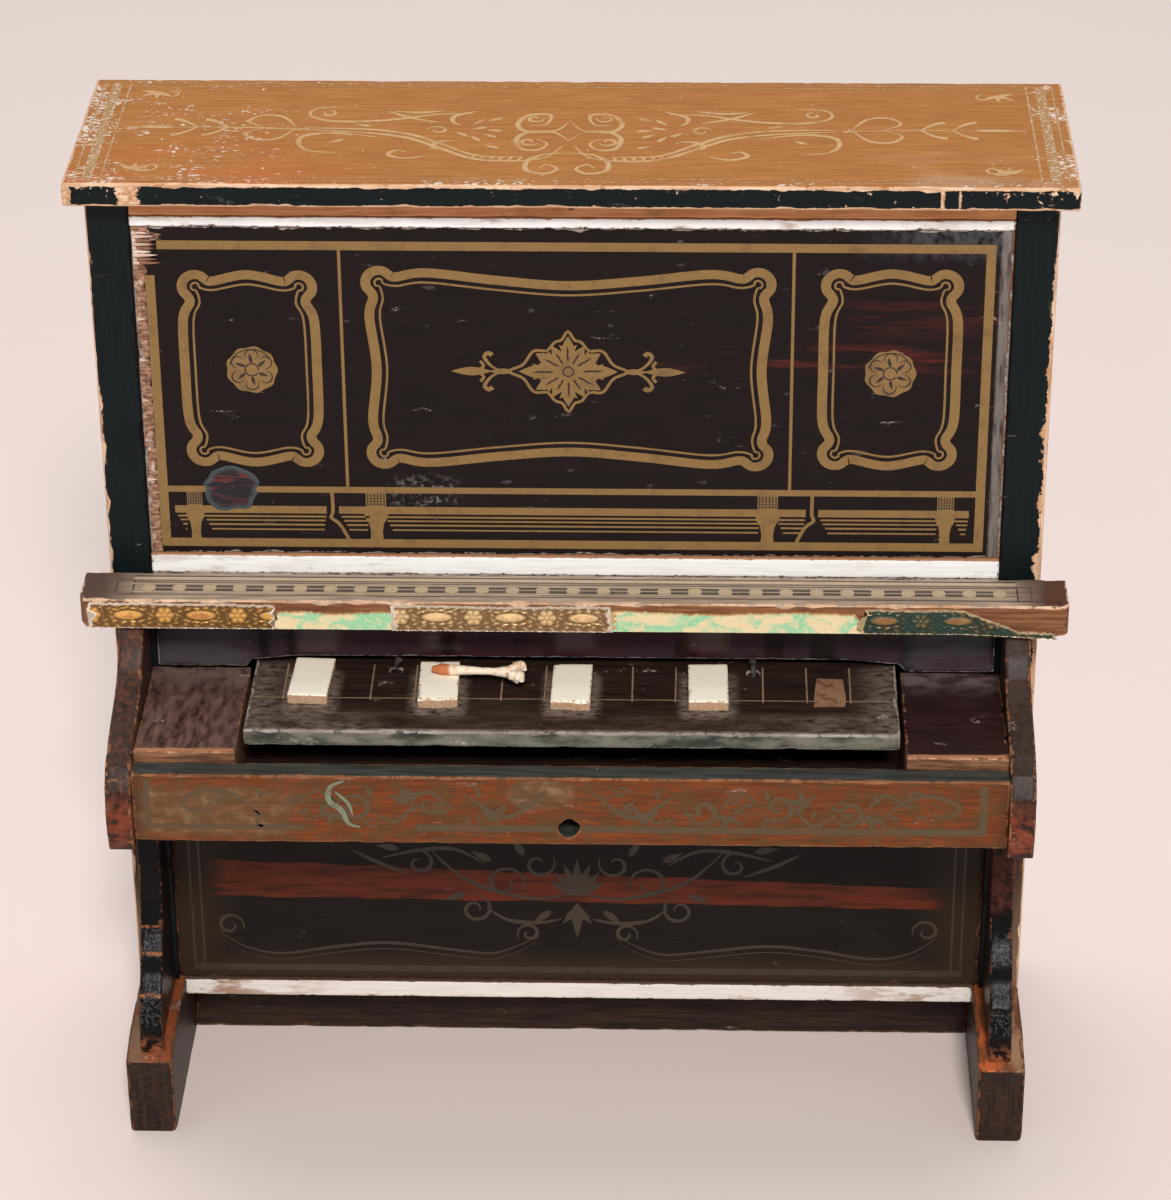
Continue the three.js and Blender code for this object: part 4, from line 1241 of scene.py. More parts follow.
def medallion(art, shade, u, v):
    """A leafy diamond with a fleuron on a stem at either end."""
    outline = [(8.4, 0), (6.4, 1.1), (4.9, 3.2), (3.0, 3.3), (1.9, 4.6), (0.9, 5.0), (0, 6.3)]
    loop = outline + placed(reversed(outline[:-1]), sign=-1)
    loop += placed(outline[1:], sign=-1, rise=-1) + placed(reversed(outline[1:-1]), rise=-1)
    art.curve(placed(loop, u, v), 0.42, closed=True)
    for degrees, length, width in (
        (0, 7.0, 2.2), (180, 7.0, 2.2), (90, 5.5, 2.0), (270, 5.5, 2.0),
        (32, 5.4, 2.1), (148, 5.4, 2.1), (212, 5.4, 2.1), (328, 5.4, 2.1),
        (60, 4.6, 1.7), (120, 4.6, 1.7), (240, 4.6, 1.7), (300, 4.6, 1.7),
    ):
        art.leaf(u, v, degrees, length, width, blunt=0.55)
        angle = math.radians(degrees)
        for share in (0.3, 0.48):
            x, y = u + length * share * math.cos(angle), v + length * share * math.sin(angle)
            shade.leaf(x, y, degrees + 6, length * 0.26, 0.3)
        if length > 5.3:
            for sign in (-1, 1):
                x, y = u + length * 0.55 * math.cos(angle), v + length * 0.55 * math.sin(angle)
                art.leaf(x, y, degrees + sign * 48, 1.7, 0.9)
    shade.line(spiral(u, v, 0.75, 0.75, 0, 1), 0.2)
    for sign in (-1, 1):
        art.leaf(u + sign * 8.0, v, 90 - 90 * sign, 3.4, 0.9)
        art.leaf(u + sign * 10.8, v, 90 - 90 * sign, 5.8, 1.35, blunt=0.5)
        for rise in (-1, 1):
            curl = [(9.4, 0.1), (10.6, 0.6), (11.5, 1.5), (11.9, 2.4), (11.3, 2.9), (10.8, 2.5)]
            art.curve(placed(curl, u, v, sign, rise), 0.75, taper=thin_start)
            hook = [(12.6, 0.2), (12.0, 0.9), (12.5, 1.6)]
            art.curve(placed(hook, u, v, sign, rise), 0.45)


def pedestal(art, shade, u, under, over, width):
    """A turned post with a hatched head."""
    half, tall = width / 2, over - under
    shape = [(0.0, 0.55), (0.16, 0.5), (0.34, 0.62), (0.46, 0.95), (0.60, 1.08), (0.68, 0.86),
             (1.0, 0.86)]
    left = [(u - half * w, under + tall * t) for t, w in shape]
    right = [(u + half * w, under + tall * t) for t, w in shape]
    art.strip(left, right)
    for k in range(6):
        x = u - half * 0.7 + half * 1.4 * k / 5
        shade.bar(x - 0.07, x + 0.07, under + tall * 0.72, over - 0.1)
    for k in range(4):
        y = under + tall * (0.75 + 0.06 * k)
        shade.bar(u - half * 0.8, u + half * 0.8, y - 0.05, y + 0.05)


def dado(art, shade, left, right, under, over):
    """Mouldings along the foot of the panel, with posts standing on them."""
    art.bar(left, right, over - 1.0, over)
    posts = ((-54.9, 2.6), (-28.6, 3.4), (28.0, 3.4), (53.6, 2.8))
    for u, width in posts:
        pedestal(art, shade, u, under, over - 0.9, width)
    brackets = ((-34.9, 1), (34.4, -1))
    for u, sign in brackets:
        path = [(u, over - 0.9), (u, over - 4.2), (u - 0.3 * sign, over - 5.0),
                (u + 1.0 * sign, over - 6.2), (u + 2.2 * sign, under)]
        art.curve(path, 0.5)
    stops = [left] + sorted([u for u, _ in posts] + [u for u, _ in brackets]) + [right]
    for start, end in zip(stops, stops[1:]):
        for k, (drop, thick) in enumerate(((3.2, 1.2), (4.75, 0.3), (5.4, 0.28), (6.1, 0.3), (6.9, 0.26))):
            slope = 0.35 * k
            art.bar(start + 0.9 + slope, end - 0.9 - 0.1 * k, over - drop - thick, over - drop)


def make_upper_panel_print():
    plane = Plane("upper_panel", "front")
    art, shade = Print(plane), Print(plane, lift=0.045)
    left, right = plane.left + 1.7, plane.right - 2.5
    under, over = plane.under + 1.1, plane.over - 2.3
    thick, torn_across, torn_down = 1.35, 1.9, 4.0
    art.bar(left, right, under, under + thick)
    art.bar(left + torn_across, right, over - thick, over)
    art.bar(left, left + thick, under + thick, over - thick - torn_down)
    art.bar(right - thick, right, under + thick, over - thick)
    dado_over = plane.under + 11.0
    for u in (-32.6, 31.1):
        art.bar(u - 0.22, u + 0.22, dado_over, over)
    dado(art, shade, left + 1.3, right - 1.3, under + 1.3, dado_over)
    middle = plane.under + 29.7
    cartouche(art, -45.7, middle, 9.9, 15.5, dip=0.0, bow=-0.2)
    cartouche(art, 44.9, middle + 0.4, 10.0, 15.8, dip=0.0, bow=-0.1)
    cartouche(art, -0.5, middle + 0.3, 29.2, 16.0, dip=2.2, bow=1.2)
    for u in (-45.6, 45.0):
        rosette(art, shade, u, middle, 3.6)
    medallion(art, shade, -0.6, middle)
    gold = gilt("panel_gilt", (0.27, 0.152, 0.042), (0.03, 0.017, 0.014), worn=0.35)
    dark = gilt("panel_gilt_lines", (0.022, 0.012, 0.011), (0.08, 0.045, 0.02), worn=0.2)
    art.make("upper_panel_gilding", gold, "upper_panel")
    shade.make("upper_panel_gilding_lines", dark, "upper_panel")
    make_blister(plane, -49.4, dado_over - 0.4, 4.1, 3.6)
    make_slivers()


def make_slivers():
    """Torn veneer standing up in slivers at the upper panel's top left corner and down its left edge."""
    plane = Plane("upper_panel", "front")
    finishes = (
        bare_wood("pale_slivers", (0.78, 0.66, 0.56), (0.46, 0.28, 0.19)),
        bare_wood("brown_slivers", (0.34, 0.17, 0.10), (0.12, 0.050, 0.030)),
    )
    sides, rings = 6, 6
    for shade, finish in enumerate(finishes):
        verts, faces = [], []
        for k in range(14):
            chance = noise.noise(Vector((k * 1.9, shade * 3.7, 0.6)))
            high = k < 9
            v = plane.over - (1.1 + 0.58 * k if high else 8.0 + 6.4 * (k - 8) + 3.0 * shade)
            length = (2.4 if high else 1.0) * (1 + 0.9 * chance)
            first = len(verts)
            for i in range(rings):
                t = i / (rings - 1)
                u = plane.left + 0.25 + 0.5 * shade + length * t
                thick = 0.42 * (1 - t) ** 0.7 + 0.03
                lift = 0.10 + 0.45 * t * max(0.2, chance + 0.4)
                for j in range(sides):
                    a = 2 * math.pi * j / sides
                    rise = v + 0.5 * chance * t + thick * 0.7 * math.sin(a)
                    verts.append(plane.at(u, rise, lift + thick * 0.5 * math.cos(a)))
            for i in range(rings - 1):
                faces += band_faces(first + i * sides, first + (i + 1) * sides, sides)
            last = first + (rings - 1) * sides
            faces += [tuple(range(first, first + sides)), tuple(range(last, last + sides))]
        made = make_object(f"upper_panel_slivers_{shade + 1}", verts, faces, [finish])
        settle(made, "upper_panel", replaces_it=False)


def blister_finish():
    """Cracked varnish: a dark red middle in streaks, inside a blue-grey rim."""
    g = Graph("blistered_varnish", roughness=0.4, specular=0.4)
    streak = g.noise(0.9, 6, (5, 1, 0.8), distortion=1.0)
    upper = g.plus(0.35, g.times(g.step(g.z, 99.6, 101.0), 0.65))
    tone = g.mix(g.times(g.step(streak, 0.48, 0.56), upper), (0.010, 0.009, 0.013), (0.12, 0.020, 0.014))
    cracks = g.noise(0.7, 5, distortion=2.0, shift=4.0)
    rim = g.step(g.minus(g.attribute("edge"), g.times(cracks, 0.5)), 0.00, -0.16)
    g.color(g.mix(rim, tone, (0.045, 0.065, 0.072)))
    g.roughness(0.35, cracks, 0.4)
    g.bump(g.plus(streak, cracks), 0.15)
    return g.material


def make_blister(plane, u, v, half_u, half_v):
    rings, count = (1.0, 0.92, 0.78, 0.55, 0.3), 48
    verts, edge = [plane.at(u, v, 0.09)], [1.0]
    for share in rings:
        for i in range(count):
            a = 2 * math.pi * i / count
            wobble = 1 + 0.16 * noise.noise(Vector((math.cos(a) * 1.8, math.sin(a) * 1.8, 0.4)))
            wobble -= 0.17 * math.exp(-(math.sin(a) / 0.15) ** 2)
            p = (u + half_u * share * wobble * math.cos(a), v + half_v * share * wobble * math.sin(a))
            rough = noise.noise(Vector((p[0] * 1.4, p[1] * 2.6, 3.0)))
            verts.append(plane.at(*p, 0.04 + (0.0 if share == 1 else 0.05 + 0.04 * rough)))
            edge.append(1 - share)
    faces = []
    for k in range(len(rings) - 1):
        faces += band_faces(1 + k * count, 1 + (k + 1) * count, count)
    last = 1 + (len(rings) - 1) * count
    faces += [(0, last + i, last + (i + 1) % count) for i in range(count)]
    made = make_object("upper_panel_blister", verts, faces, [blister_finish()], edge=edge)
    settle(made, "upper_panel", replaces_it=False)


# ---- the lid's transfer ----


LID_PRINT_MIDDLE = -0.6

LID_SCROLLS = (
    [(0.0, 23.4), (1.8, 19.8), (5.6, 19.0), (7.4, 21.6), (6.0, 25.2), (2.9, 25.3), (3.4, 21.9),
     (5.6, 21.6)],
    [(0.0, 16.0), (2.2, 19.0), (5.4, 19.2), (7.3, 16.8), (6.6, 13.1), (4.2, 12.7), (3.0, 14.9),
     (4.6, 16.6)],
    [(0.0, 11.6), (3.4, 11.0), (5.6, 8.4), (5.4, 5.3), (2.9, 4.4), (1.3, 6.0), (2.8, 7.6), (3.8, 6.3)],
    [(0.9, 14.0), (2.9, 10.2), (7.0, 8.8), (13.0, 9.4), (18.5, 13.6), (22.8, 16.8), (29.0, 18.6),
     (38, 19.6)],
    [(6.2, 10.2), (12.6, 10.6), (17.8, 14.6), (22.4, 18.0), (28.6, 19.8), (37.6, 20.2)],
    [(27.0, 17.0), (33.0, 18.4), (37.2, 17.4), (37.9, 14.6), (36.2, 12.0), (32.4, 11.4)],
    [(14.0, 25.7), (19.0, 25.4), (24.0, 23.7), (29.0, 22.7), (34.0, 22.8), (37.0, 24.6), (36.4, 27.2),
     (32, 27.9)],
    [(18.6, 22.4), (22.6, 24.0), (26.0, 26.4)],
    [(18.0, 26.8), (21.6, 26.0), (25.2, 26.5)],
    [(13.4, 26.6), (16.4, 24.8), (16.6, 22.6), (15.4, 21.4)],
    [(15.6, 15.8), (18.2, 15.4), (19.0, 13.6), (18.0, 12.6)],
    [(19.8, 10.4), (22.6, 9.4), (25.0, 10.6), (24.2, 12.2), (22.6, 11.8)],
)
LID_CURLS = ((18.6, 19.6, 1.5, 0, 1.1), (5.0, 24.0, 1.3, 170, 1.0), (5.6, 15.6, 1.4, 200, 1.0),
             (34.6, 25.6, 1.2, 90, 0.9))
LID_LEAVES = ((9.6, 24.4, -35), (12.2, 23.6, -50), (9.4, 19.4, 10), (10.2, 17.0, 35), (12.4, 15.6, 55),
              (14.2, 17.4, 40), (11.6, 20.8, -20), (28.0, 20.9, 15), (31.6, 16.0, -25), (9.6, 13.2, 25))


def lid_border(plane):
    """Faint lines round the lid's top, with a broad band across each end."""
    art = Print(plane, lift=0.015)
    deep = plane.over - plane.under
    for sign in (-1, 1):
        art.bar(sign * 67.4, sign * 66.0, 1.6, deep - 1.6)
        for u in (64.6, 68.3):
            art.bar(sign * u, sign * (u + 0.3), 1.6, deep - 1.6)
    for v in (1.6, 2.5, deep - 2.5, deep - 1.6):
        art.bar(-64.4, 64.4, v - 0.09, v + 0.09)
    ink = gilt("lid_border_gilt", (0.44, 0.245, 0.090), (0.41, 0.17, 0.044), worn=1.0, patch=1.6,
               flecks=0.5)
    art.make("lid_border", ink, "lid")


def make_lid_print():
    plane = Plane("lid", "top")
    lid_border(plane)
    art = Print(plane, lift=0.018)
    deep = plane.over - plane.under
    middle = deep * 0.53
    for sign in (-1, 1):
        for v in (3.4, deep - 3.4):
            u, flip = sign * 60.5, 1 if v < middle else -1
            for degrees, length in ((0, 2.8), (50, 2.4), (100, 3.2), (150, 2.4)):
                art.leaf(u, v + flip * 1.6, 90 + (degrees - 50) * sign - (1 - flip) * 90, length, 0.9)
            art.curve(spiral(u - sign * 2.0, v + flip * 2.4, 1.3, 0.5, 90, sign * 0.8), 0.35)
        spine = [(38, middle - 0.7), (44, middle - 0.2), (50, middle), (60, middle - 0.2)]
        art.curve(placed(spine, sign=sign), 0.6, taper=lambda t: 1 - 0.8 * t)
        art.leaf(sign * 56.5, middle, 90 - 90 * sign, 7.6, 1.0)
        ring = [(39.2, 0), (41.5, 3.9), (44.6, 4.4), (46.2, 2.2), (44.0, 0.2)]
        for rise in (-1, 1):
            art.curve(placed(ring, 0, middle, sign, rise), 0.6, taper=thin_ends)
            for u in (49.0, 53.4):
                curl = [(u, 0), (u + 1.0, 1.3), (u + 2.4, 2.5), (u + 3.5, 2.9)]
                art.curve(placed(curl, 0, middle, sign, rise), 0.95, taper=thin_start)
        for scroll in LID_SCROLLS:
            art.curve(placed(scroll, LID_PRINT_MIDDLE, sign=sign), 0.75, taper=thin_ends)
        for p, q, outer, start, turns in LID_CURLS:
            curl = spiral(p, q, outer, outer * 0.3, start, turns)
            art.curve(placed(curl, LID_PRINT_MIDDLE, sign=sign), 0.6, taper=thin_ends)
        for p, q, degrees in LID_LEAVES:
            art.leaf(LID_PRINT_MIDDLE + sign * p, q, mirrored(degrees, sign), 2.6, 0.75)
        for k in range(7):
            along = LID_PRINT_MIDDLE + sign * (5.6 + 1.3 * k)
            art.leaf(along, 8.9 + 0.02 * k * k, 90 + 25 * sign, 1.5, 0.5)
    ink = gilt("lid_gilt", (0.62, 0.385, 0.175), (0.42, 0.18, 0.054), worn=1.0, patch=4.0)
    art.make("lid_gilding", ink, "lid")


# ---- the lower panel's and the front rail's transfers ----


def make_lower_panel_print():
    plane = Plane("lower_panel", "front")
    art = Print(plane)
    base = plane.under + 0.9
    left, right, under = plane.left + 2.4, plane.right - 2.6, base + 0.5
    art.bar(left, right, under, under + 1.15)
    for u in (left, left + 1.5, right - 0.4, right - 1.9):
        art.bar(u, u + 0.35, under, plane.over)
    wave = [(-55.1, 7.6), (-50.8, 4.7), (-45.2, 3.7), (-36.6, 5.1), (-28.6, 5.8), (-17.3, 4.4),
            (-12.5, 4.2), (-7.6, 6.4), (-6.0, 8.4)]
    for sign in (1, -1):
        for rise, width in ((0, 0.55), (-1.1, 0.22)):
            art.curve([(sign * p, base + q + rise) for p, q in wave], width, taper=thin_ends)
    for sign in (-1, 1):
        for p, q, outer, start, turns in (
            (53.4, 8.8, 2.2, 200, -1.2), (7.4, 7.8, 1.9, 330, 1.2), (15.6, 12.2, 2.6, 90, 1.3),
            (11.0, 17.0, 3.2, 200, -1.2), (24.0, 20.5, 2.4, 60, 1.1), (5.8, 20.5, 2.6, 150, 1.0),
        ):
            curl = spiral(p, base + q, outer, outer * 0.25, start, turns)
            art.curve(placed(curl, sign=sign), 0.6, taper=thin_ends)
        for path in (
            [(2.4, 10.5), (6.0, 9.8), (10.5, 10.2), (13.8, 12.4)],
            [(1.5, 15.0), (6.0, 14.2), (12.0, 15.4), (17.5, 18.0), (22.0, 22.6)],
            [(14.0, 20.5), (18.5, 23.0), (24.0, 22.8), (29.5, 21.4)],
            [(25.5, 18.5), (30.0, 20.4), (34.0, 22.6)],
        ):
            art.curve(placed(path, 0, base, sign), 0.7, taper=thin_ends)
        for p, q, degrees in ((8, 22, 60), (13, 21, 30), (17, 15, -20), (27, 23, 10), (4, 12, -40)):
            art.leaf(sign * p, base + q, mirrored(degrees, sign), 3.6, 1.2)
    for degrees in range(-60, 61, 20):
        art.leaf(0, base + 15.0, 90 + degrees, 6.5 - abs(degrees) * 0.03, 1.5)
    art.leaf(0, base + 13.5, 270, 6.4, 1.7)
    for sign in (-1, 1):
        art.leaf(0, base + 12.5, 270 + sign * 38, 3.6, 1.2)
    ink = gilt("lower_gilt", (0.040, 0.026, 0.012), (0.018, 0.010, 0.007), worn=0.85, patch=4)
    art.make("lower_panel_gilding", ink, "lower_panel")


def make_rail_print():
    plane = Plane("front_rail", "front")
    art = Print(plane)
    under, over = plane.under + 2.1, plane.over - 0.7
    left, right = -60.8, 59.4
    art.bar(-22.0, -1.9, under, under + 1.15)
    art.bar(1.9, right, under, under + 1.15)
    art.bar(left, -38.0, under, under + 0.9)
    art.bar(right - 1.1, right, under + 1.1, over)
    art.bar(left, left + 0.8, under + 0.9, over)
    row = plane.under + 6.2
    for k, u in enumerate((-30.6, -20.0, 19.1, 29.7, 39.8)):
        sign = -1 if u < 0 else 1
        rise = 1 if k % 2 else -1
        art.curve(spiral(u, row + 0.4 * rise, 2.5, 0.5, 200 * rise, sign * 1.35), 0.75, taper=thin_ends)
        tail = ((2.4, 0.0), (5.0, -2.6), (8.0, -1.0))
        art.curve(placed(tail, u, row, sign, rise), 0.7, taper=thin_ends)
        for degrees in (40, 100, 160):
            art.leaf(u + sign * 3.4, row + rise, degrees * rise, 2.6, 0.9)
    for sign in (-1, 1):
        swag = ((3.5, 2.6), (9.0, -1.6), (15.0, 2.2))
        art.curve(placed(swag, 0, row, sign), 0.8, taper=thin_ends)
        for degrees in (60, 115):
            art.leaf(sign * 10.6, row - 2.6, mirrored(degrees, sign), 4.0, 1.1)
        hook = ((44.0, -1.8), (48.0, 1.8), (52.0, 2.4), (55.5, 0.6), (53.2, -1.2), (51.0, 0.4))
        art.curve(placed(hook, 0, row, sign), 0.75, taper=thin_ends)
    for k in range(9):
        for sign in (-1, 1):
            u = sign * (7.5 + 5.2 * k)
            wave = 1.6 * math.sin(k * 1.9)
            art.leaf(u, row + wave, 35 + 70 * (k % 3), 2.2, 0.8)
            art.leaf(u + sign * 1.6, row - wave, 200 + 50 * (k % 4), 2.0, 0.7)
            art.curve(spiral(u, row + 2.6 * math.cos(k * 2.3), 1.1, 0.3, 90 * k, sign * 0.9), 0.45)
    ink = gilt("rail_gilt", (0.090, 0.056, 0.020), (0.12, 0.042, 0.014), worn=0.8, patch=3)
    art.make("front_rail_gilding", ink, "front_rail")
    stroke = Print(plane, lift=0.03)
    stroke.curve([(-32.1, over), (-34.0, over - 1.0), (-34.3, over - 3.2), (-32.6, under + 3.4),
                  (-31.6, under + 1.2), (-30.0, under + 0.6)], 0.9, taper=thin_ends)
    stroke.curve([(-33.4, over - 1.8), (-31.6, under + 4.6), (-31.0, under + 2.6)], 0.5, taper=thin_ends)
    paint = gilt("green_smear", (0.19, 0.24, 0.15), (0.12, 0.07, 0.035), worn=0.9, patch=1.6)
    stroke.make("front_rail_green_smear", paint, "front_rail")


def make_ledge_print():
    """Gilt lines and dots on dark bars, along the top of the music ledge."""
    plane = Plane("music_ledge", "top")
    art, shade = Print(plane, lift=0.03), Print(plane, lift=0.012)
    reach, row, pitch = 64.0, 3.7, 4.4
    count = int(reach / pitch)
    for v, thick in ((1.75, 0.22), (5.35, 0.25), (5.9, 0.2), (7.2, 0.35)):
        shade.bar(-reach, reach, v - thick / 2, v + thick / 2)
    for k in range(-count, count + 1):
        if k < count:
            shade.bar(k * pitch + 0.95, (k + 1) * pitch - 0.95, row - 0.85, row + 0.85)
            art.bar(k * pitch + 0.7, (k + 1) * pitch - 0.7, row - 0.12, row + 0.12)
        art.disc(k * pitch, row, 0.98, count=20)
    for v, thick in ((2.5, 0.3), (4.95, 0.3), (6.5, 0.75)):
        art.bar(-reach, reach, v - thick / 2, v + thick / 2)
    for sign in (-1, 1):
        shade.frame(sign * reach, sign * (reach + 2.2), 1.6, 6.0, 0.25)
    gold = gilt("ledge_gilt", (0.64, 0.49, 0.30), (0.40, 0.29, 0.20), worn=0.4, patch=4)
    dark = gilt("ledge_dark_lines", (0.095, 0.070, 0.060), (0.26, 0.185, 0.135), worn=0.45, patch=3)
    art.make("music_ledge_gilding", gold, "music_ledge")
    shade.make("music_ledge_dark_lines", dark, "music_ledge")


def make_key_lines():
    """Scored lines between the printed keys, showing pale wood."""
    plane = Plane("keyboard_board", "top")
    art = Print(plane, lift=0.012)
    score, back = 9.3, 19.0
    pitch, first, count = 6.36, -42.3, 14
    for k in range(count):
        u = first + pitch * k
        wander = 0.12 * noise.noise(Vector((k * 1.7, 0.3, 0)))
        art.line([(u + wander, score - 0.4), (u, back)], 0.24)
    art.line([(-46.8, score), (46.8, score + 0.2)], 0.22)
    pale = gilt("scored_wood", (0.34, 0.22, 0.13), (0.09, 0.05, 0.035), worn=0.75, patch=2.5)
    art.make("key_lines", pale, "keyboard_board")
    bare = Print(plane, lift=0.02)
    bare.strip([(35.0, 7.8), (35.1, 10.5), (35.3, 13.4), (35.6, 16.0)],
               [(39.5, 8.0), (39.7, 10.6), (39.5, 13.6), (39.4, 15.8)])
    glue = gilt("bare_patch", (0.36, 0.19, 0.10), (0.12, 0.045, 0.022), worn=1.0, patch=1.4)
    bare.make("missing_key_patch", glue, "keyboard_board")


# ---- paper along the front of the ledge ----

PAPER_STEP = 0.15
GLUED_EDGE = 0.25
MOTIF_PITCH = 5.3


def motif_height(u, v, first):
    """Embossed relief from 0 to 1: ovals and rosettes in turn, in a beaded ground."""
    k = round((u - first) / MOTIF_PITCH)
    x = u - first - k * MOTIF_PITCH
    if k % 2 == 0:
        r = math.hypot(x / 2.5, v / 0.85)
        boss = max(0.0, 1 - r ** 4) * 0.9
        rim = math.exp(-((r - 1.35) / 0.13) ** 2) * (0.6 + 0.3 * math.cos(math.atan2(v * 2.6, x) * 14))
    else:
        r, angle = math.hypot(x, v), math.atan2(v, x)
        petal = 0.62 + 0.38 * math.cos(6 * angle)
        boss = max(0.0, 1 - (r / 1.55) ** 4) * (0.35 + 0.6 * petal * min(1.0, r / 0.8))
        boss = max(boss, 0.95 * math.exp(-(r / 0.4) ** 2))
        rim = 0.35 * math.exp(-((r - 1.75) / 0.14) ** 2)
    curls = 0.35 * math.sin(u * 4.1 + 2.0 * math.sin(v * 3.0)) * math.sin(v * 4.6 + u * 0.8)
    ground = 0.22 + max(0.0, curls) if boss < 0.05 else 0.0
    return max(boss, rim, ground)


def sheet_faces(columns, rows):
    """Faces of a grid of vertices, closed behind by two more vertices for each of its columns."""
    stride = rows + 1
    base = (columns + 1) * stride
    faces = []
    for i in range(columns):
        for j in range(rows):
            a = i * stride + j
            faces.append((a, a + stride, a + stride + 1, a + 1))
    for i in range(columns):
        low, high, below, above = i * stride, i * stride + rows, base + 2 * i, base + 2 * i + 1
        faces.append((below, above, above + 2, below + 2))
        faces.append((low, below, below + 2, low + stride))
        faces.append((high, high + stride, above + 2, above))
    for i in (0, columns):
        faces.append((*range(i * stride, i * stride + rows + 1), base + 2 * i + 1, base + 2 * i))
    return faces


def glued_down(share):
    return 0.0


def paper_strip(node, left, right, under, over, relief, first, finish, peel=glued_down):
    """A closed sheet of paper on the ledge's front between ragged borders.

    left and right are the ends, and under and over give the borders' heights at a share of the length.
    peel(share) is how far it hangs off the wood.
    """
    plane = Plane("music_ledge", "front")
    columns = math.ceil((right - left) / PAPER_STEP)
    rows = math.ceil((over(0.3) - under(0.3)) / PAPER_STEP)
    verts, height, edge = [], [], []
    middle = (plane.under + plane.over) / 2
    for i in range(columns + 1):
        s = i / columns
        for j in range(rows + 1):
            t = j / rows
            u = left + (right - left) * s
            tear = noise.noise(Vector((t * 5.0, s * 2.0 + left, 4.4))) * 1.1
            u += tear * ((1 - s) ** 8 if s < 0.5 else s ** 8)
            fray = 0.18 * noise.noise(Vector((u * 1.9, t * 0.5, 8.8)))
            v = under(s) + (over(s) - under(s)) * t + fray * t
            gap = min(s * (right - left), (1 - s) * (right - left), (1 - t) * (over(s) - under(s)),
                      t * (over(s) - under(s)) + GLUED_EDGE)
            raised = motif_height(u, v - middle, first) if relief else 0.3
            lift = 0.06 + 0.26 * relief * raised + 0.10 * max(0.0, 1 - gap / 0.35)
            lift += 0.03 * noise.noise(Vector((u * 2.2, v * 2.2, 1.1)))
            lift += peel(s)
            verts.append(plane.at(u, v, lift))
            height.append(raised)
            edge.append(gap)
    for i in range(columns + 1):
        for j in (0, rows):
            flat = plane.flat(verts[i * (rows + 1) + j])
            verts.append(plane.at(flat.x, flat.y, peel(i / columns)))
            height.append(0.0)
            edge.append(0.0)
    faces = sheet_faces(columns, rows)
    made = make_object(f"{node}_paper", verts, faces, [finish], height=height, edge=edge)
    settle(made, node)


def make_ledge_papers():
    plane = Plane("music_ledge", "front")
    low, high = plane.under + 0.2, plane.over - 0.45

    def level(value, sway=0.0, phase=0.0):
        return lambda s: value + sway * math.sin(9 * s + phase)

    torn = (0.80, 0.70, 0.56)
    left_gold = embossed_paper("paper_gold_left", (0.86, 0.46, 0.11), (0.12, 0.056, 0.013), torn)
    middle_gold = embossed_paper("paper_gold_middle", (0.96, 0.66, 0.32), (0.20, 0.105, 0.038), torn)
    green = embossed_paper("paper_dark_green", (0.34, 0.20, 0.065), (0.012, 0.030, 0.020),
                           (0.62, 0.46, 0.25), patina=(0.016, 0.050, 0.036))
    paper_strip("trim_left", -69.6, -43.2, level(low), lambda s: high - 0.9 * max(0, s - 0.75), 1.0,
                -64.3, left_gold)
    paper_strip("trim_middle", -25.7, 5.4, level(low - 0.1), level(high - 0.1, 0.06), 1.0, -19.6,
                middle_gold)
    paper_strip("trim_right_peeling", 41.7, 69.4, lambda s: low - 0.35 * max(0, s - 0.55) / 0.45,
                lambda s: high - 0.1 - 3.3 * min(1, max(0, s - 0.52) / 0.3), 1.0, 44.8, green,
                peel=lambda s: 1.5 * max(0, s - 0.5) ** 1.3)
    residue = paper_residue("paper_residue")
    paper_strip("paper_scrap_left", -42.9, -26.0, level(low), level(high - 1.3, 0.15), 0.0, 0, residue)
    paper_strip("paper_scrap_right", 5.8, 41.4, level(low), level(high - 0.9, 0.2, 1.0), 0.0, 0, residue)


# ---- keys, the loose stick, pins and the nail ----


def make_raised_keys():
    cream = cream_paint("key_cream")
    wood = bare_wood("key_wood", (0.66, 0.43, 0.26), (0.48, 0.27, 0.15), ALONG_Y, dirt=0.2)
    for k, (node, degrees) in enumerate(zip(RAISED_KEYS, (-2.5, 1.0, -0.6, 0.8))):
        plane = Plane(node, "top")
        middle = Vector(((plane.left + plane.right) / 2, (plane.under + plane.over) / 2))
        turned = Matrix.Rotation(math.radians(degrees), 2)
        outline = [middle + turned @ (p - middle) for p in rectangle(plane)]
        grow_board(node, plane, [outline], cream, wood, radius=0.14, chip=0.3, seed=30 + k)


def tube(name, path, radii, material, node, replaces_it=True, sides=12, rough=0.12):
    """A closed tube with a radius at each point of its path."""
    points = [Vector(p) for p in path]
    verts, faces = [], []
    for i, (p, r) in enumerate(zip(points, radii)):
        along = (points[min(i + 1, len(points) - 1)] - points[max(i - 1, 0)]).normalized()
        across = along.cross(Vector((0, 0, 1)))
        across = across.normalized() if across.length > 0.1 else Vector((1, 0, 0))
        up = across.cross(along).normalized()
        for k in range(sides):
            a = 2 * math.pi * k / sides
            bumpy = 1 + rough * noise.noise(Vector((i * 0.7, math.cos(a), math.sin(a))) * (1 + rough))
            verts.append(p + (across * math.cos(a) + up * math.sin(a)) * r * bumpy)
    for i in range(len(points) - 1):
        faces += band_faces(i * sides, (i + 1) * sides, sides)
    faces.append(tuple(range(sides)))
    faces.append(tuple(range((len(points) - 1) * sides, len(points) * sides)))
    edge = [0.6] * len(verts)
    return settle(make_object(name, verts, faces, [material], edge=edge), node, replaces_it)


